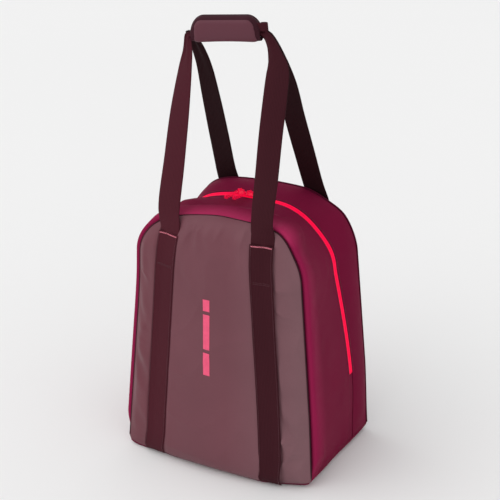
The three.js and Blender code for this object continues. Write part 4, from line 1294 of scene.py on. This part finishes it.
def grip_shape(t):
    """Top, bottom and outward reach of the grip at a fraction of its half length."""
    past = np.clip((np.abs(t) - 0.62) / 0.38, 0, 1)
    top = GRIP_HEIGHT / 2 - 25 * (1 - np.sqrt(1 - (0.985 * past) ** 2))
    bottom = GRIP_HEIGHT / 2 * (1 - 0.06 * past**3) - 1.8 * np.cos(t * math.pi / 2)
    reach = GRIP_THICKNESS / 2 * np.sqrt(1 - (0.6 * past) ** 2)
    return top, bottom, reach


def grip_grid(direction, ts, angles, inset, from_out=PARTING):
    """Points of half of the grip. `angles` run from its top edge round the outside to its bottom."""
    rows = []
    for t, angle in zip(ts, np.broadcast_to(angles, (len(ts), np.shape(angles)[-1]))):
        top, bottom, reach = grip_shape(t)
        height = (top + bottom) / 2 - inset
        out = from_out + (reach - inset - from_out) * np.sin(angle) ** GRIP_SQUARE
        up = (top - bottom) / 2 + height * np.sign(np.cos(angle)) * np.abs(np.cos(angle)) ** GRIP_SQUARE
        rows.append(grip_point(t * GRIP_LENGTH / 2, direction * out, up))
    return np.stack(rows)


def add_webbing_end():
    """The end of the front webbing, folded back on itself beside the grip."""
    route = ((0.84, 5, 3), (1.02, 6, 3.5), (1.15, 5, 3), (1.2, 1.5, 2.5), (1.14, -1.5, 2), (1, -2, 1.5))
    half = GRIP_LENGTH / 2
    rows = smooth_path([[*grip_point(t * half, out, up), out] for t, out, up in route], 1.5)
    path = rows[:, :3]
    along = directions(path)
    out = np.cross(GRIP_UP, along)
    ring = rounded_strip(13, WEBBING, 14)
    rings = [point + ring[:, :1] * GRIP_UP + ring[:, 1:] * way for point, way in zip(path, out)]
    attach(loft("front_webbing_end", rings, FRONT_WEBBING), "front_handle")


def add_grip_half(name, direction, strip, body):
    outward = direction * GRIP_FRONT
    angles = np.linspace(0.02, math.pi - 0.02, 40)
    ts = np.sin(np.linspace(-math.pi / 2, math.pi / 2, 70))
    cover_grid = grip_grid(direction, ts, angles, 0)
    cover = cloth(f"grip_cover_{name}_cloth", cover_grid, GRIP_WALL, BINDING, outward)
    patch_ts = np.linspace(-PATCH_REACH, PATCH_REACH, 90)
    patch_angles = np.linspace(PATCH_HIGH, PATCH_LOW, 40)
    patch_grid = grip_grid(direction, patch_ts, patch_angles, -0.2)
    slant = PATCH_SLANT * (PATCH_LOW - patch_angles) / (PATCH_LOW - PATCH_HIGH)
    t_edge = (PATCH_REACH - slant[None] - np.abs(patch_ts)[:, None]) * GRIP_LENGTH / 2
    a_edge = np.minimum(patch_angles - PATCH_HIGH, PATCH_LOW - patch_angles)[None] * 16
    corner = np.hypot(np.maximum(PATCH_CORNER - t_edge, 0), np.maximum(PATCH_CORNER - a_edge, 0))
    inside = np.minimum(np.minimum(t_edge, a_edge), PATCH_CORNER - corner)
    lift = PATCH_RISE * np.sqrt(smoothstep((inside + 0.4) / 6)) - PATCH_RISE * (inside < 0.1)
    patch = cloth(f"grip_patch_{name}_cloth", patch_grid, 1.0, GRIP_TARPAULIN, outward, lift)
    pad_angles = np.linspace(0.1, math.pi - 0.1, 26)
    pad_grid = grip_grid(direction, np.linspace(-0.94, 0.94, 40), pad_angles, GRIP_WALL + 0.5, 5.8)
    pad = cloth(f"grip_pad_{name}_foam", pad_grid, 2.4, FOAM_PAINT, outward)
    stand_in(cover, body, f"grip_cover_{name}")
    stand_in(patch, body, f"grip_patch_{name}")
    stand_in(pad, body, f"grip_pad_{name}")
    for place in ("upper", "lower"):
        soften(paint_node(f"grip_{strip}_strip_{place}", PILE), 0.6)


# ---- plain printed marks ---------------------------------------------------------------------
def add_panel_bars():
    """Three plain upright bars down the front, in place of lettering."""
    for number, (low, high) in enumerate(((183, 222), (228, 288), (294, 314))):
        z, x = np.meshgrid(np.linspace(low, high, 40), np.linspace(-11.5, -0.5, 12), indexing="ij")
        grid = settle(on_panel(-1, FRONT, x, z, front_out(x, z) + 0.35))
        bar = cloth(f"front_print_bar_{number + 1}", grid, 0.3, PRINT, (0, -1, 0))
        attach(bar, "root")


add_camera()
add_studio()
add_front()
add_back()
add_pads("front", -1, FRONT, FRONT_BULGE, "root", ("",))
add_pads("back", 1, BACK, BACK_BULGE, FOLDED, ("_lower", "_upper"))
add_gussets()
add_zip_end_tabs()
add_base()
add_piping()
add_base_binding()
seam_stitches("zip_stitches_front", TAPE_FRONT - 1.4, -0.15, ZIP_END, "root")
seam_stitches("zip_stitches_rear", TAPE_BACK + 1.4, -0.15, ZIP_END, FOLDED)
add_zip()
for strap_side in (-1, 1):
    add_sewn_strap(-1, strap_side)
    add_sewn_strap(1, strap_side)
add_handle("front", -1)
add_handle("rear", 1)
add_webbing_end()
add_grip_half("front", 1, "hook", "front_handle")
add_grip_half("rear", -1, "loop", "rear_handle")
add_panel_bars()
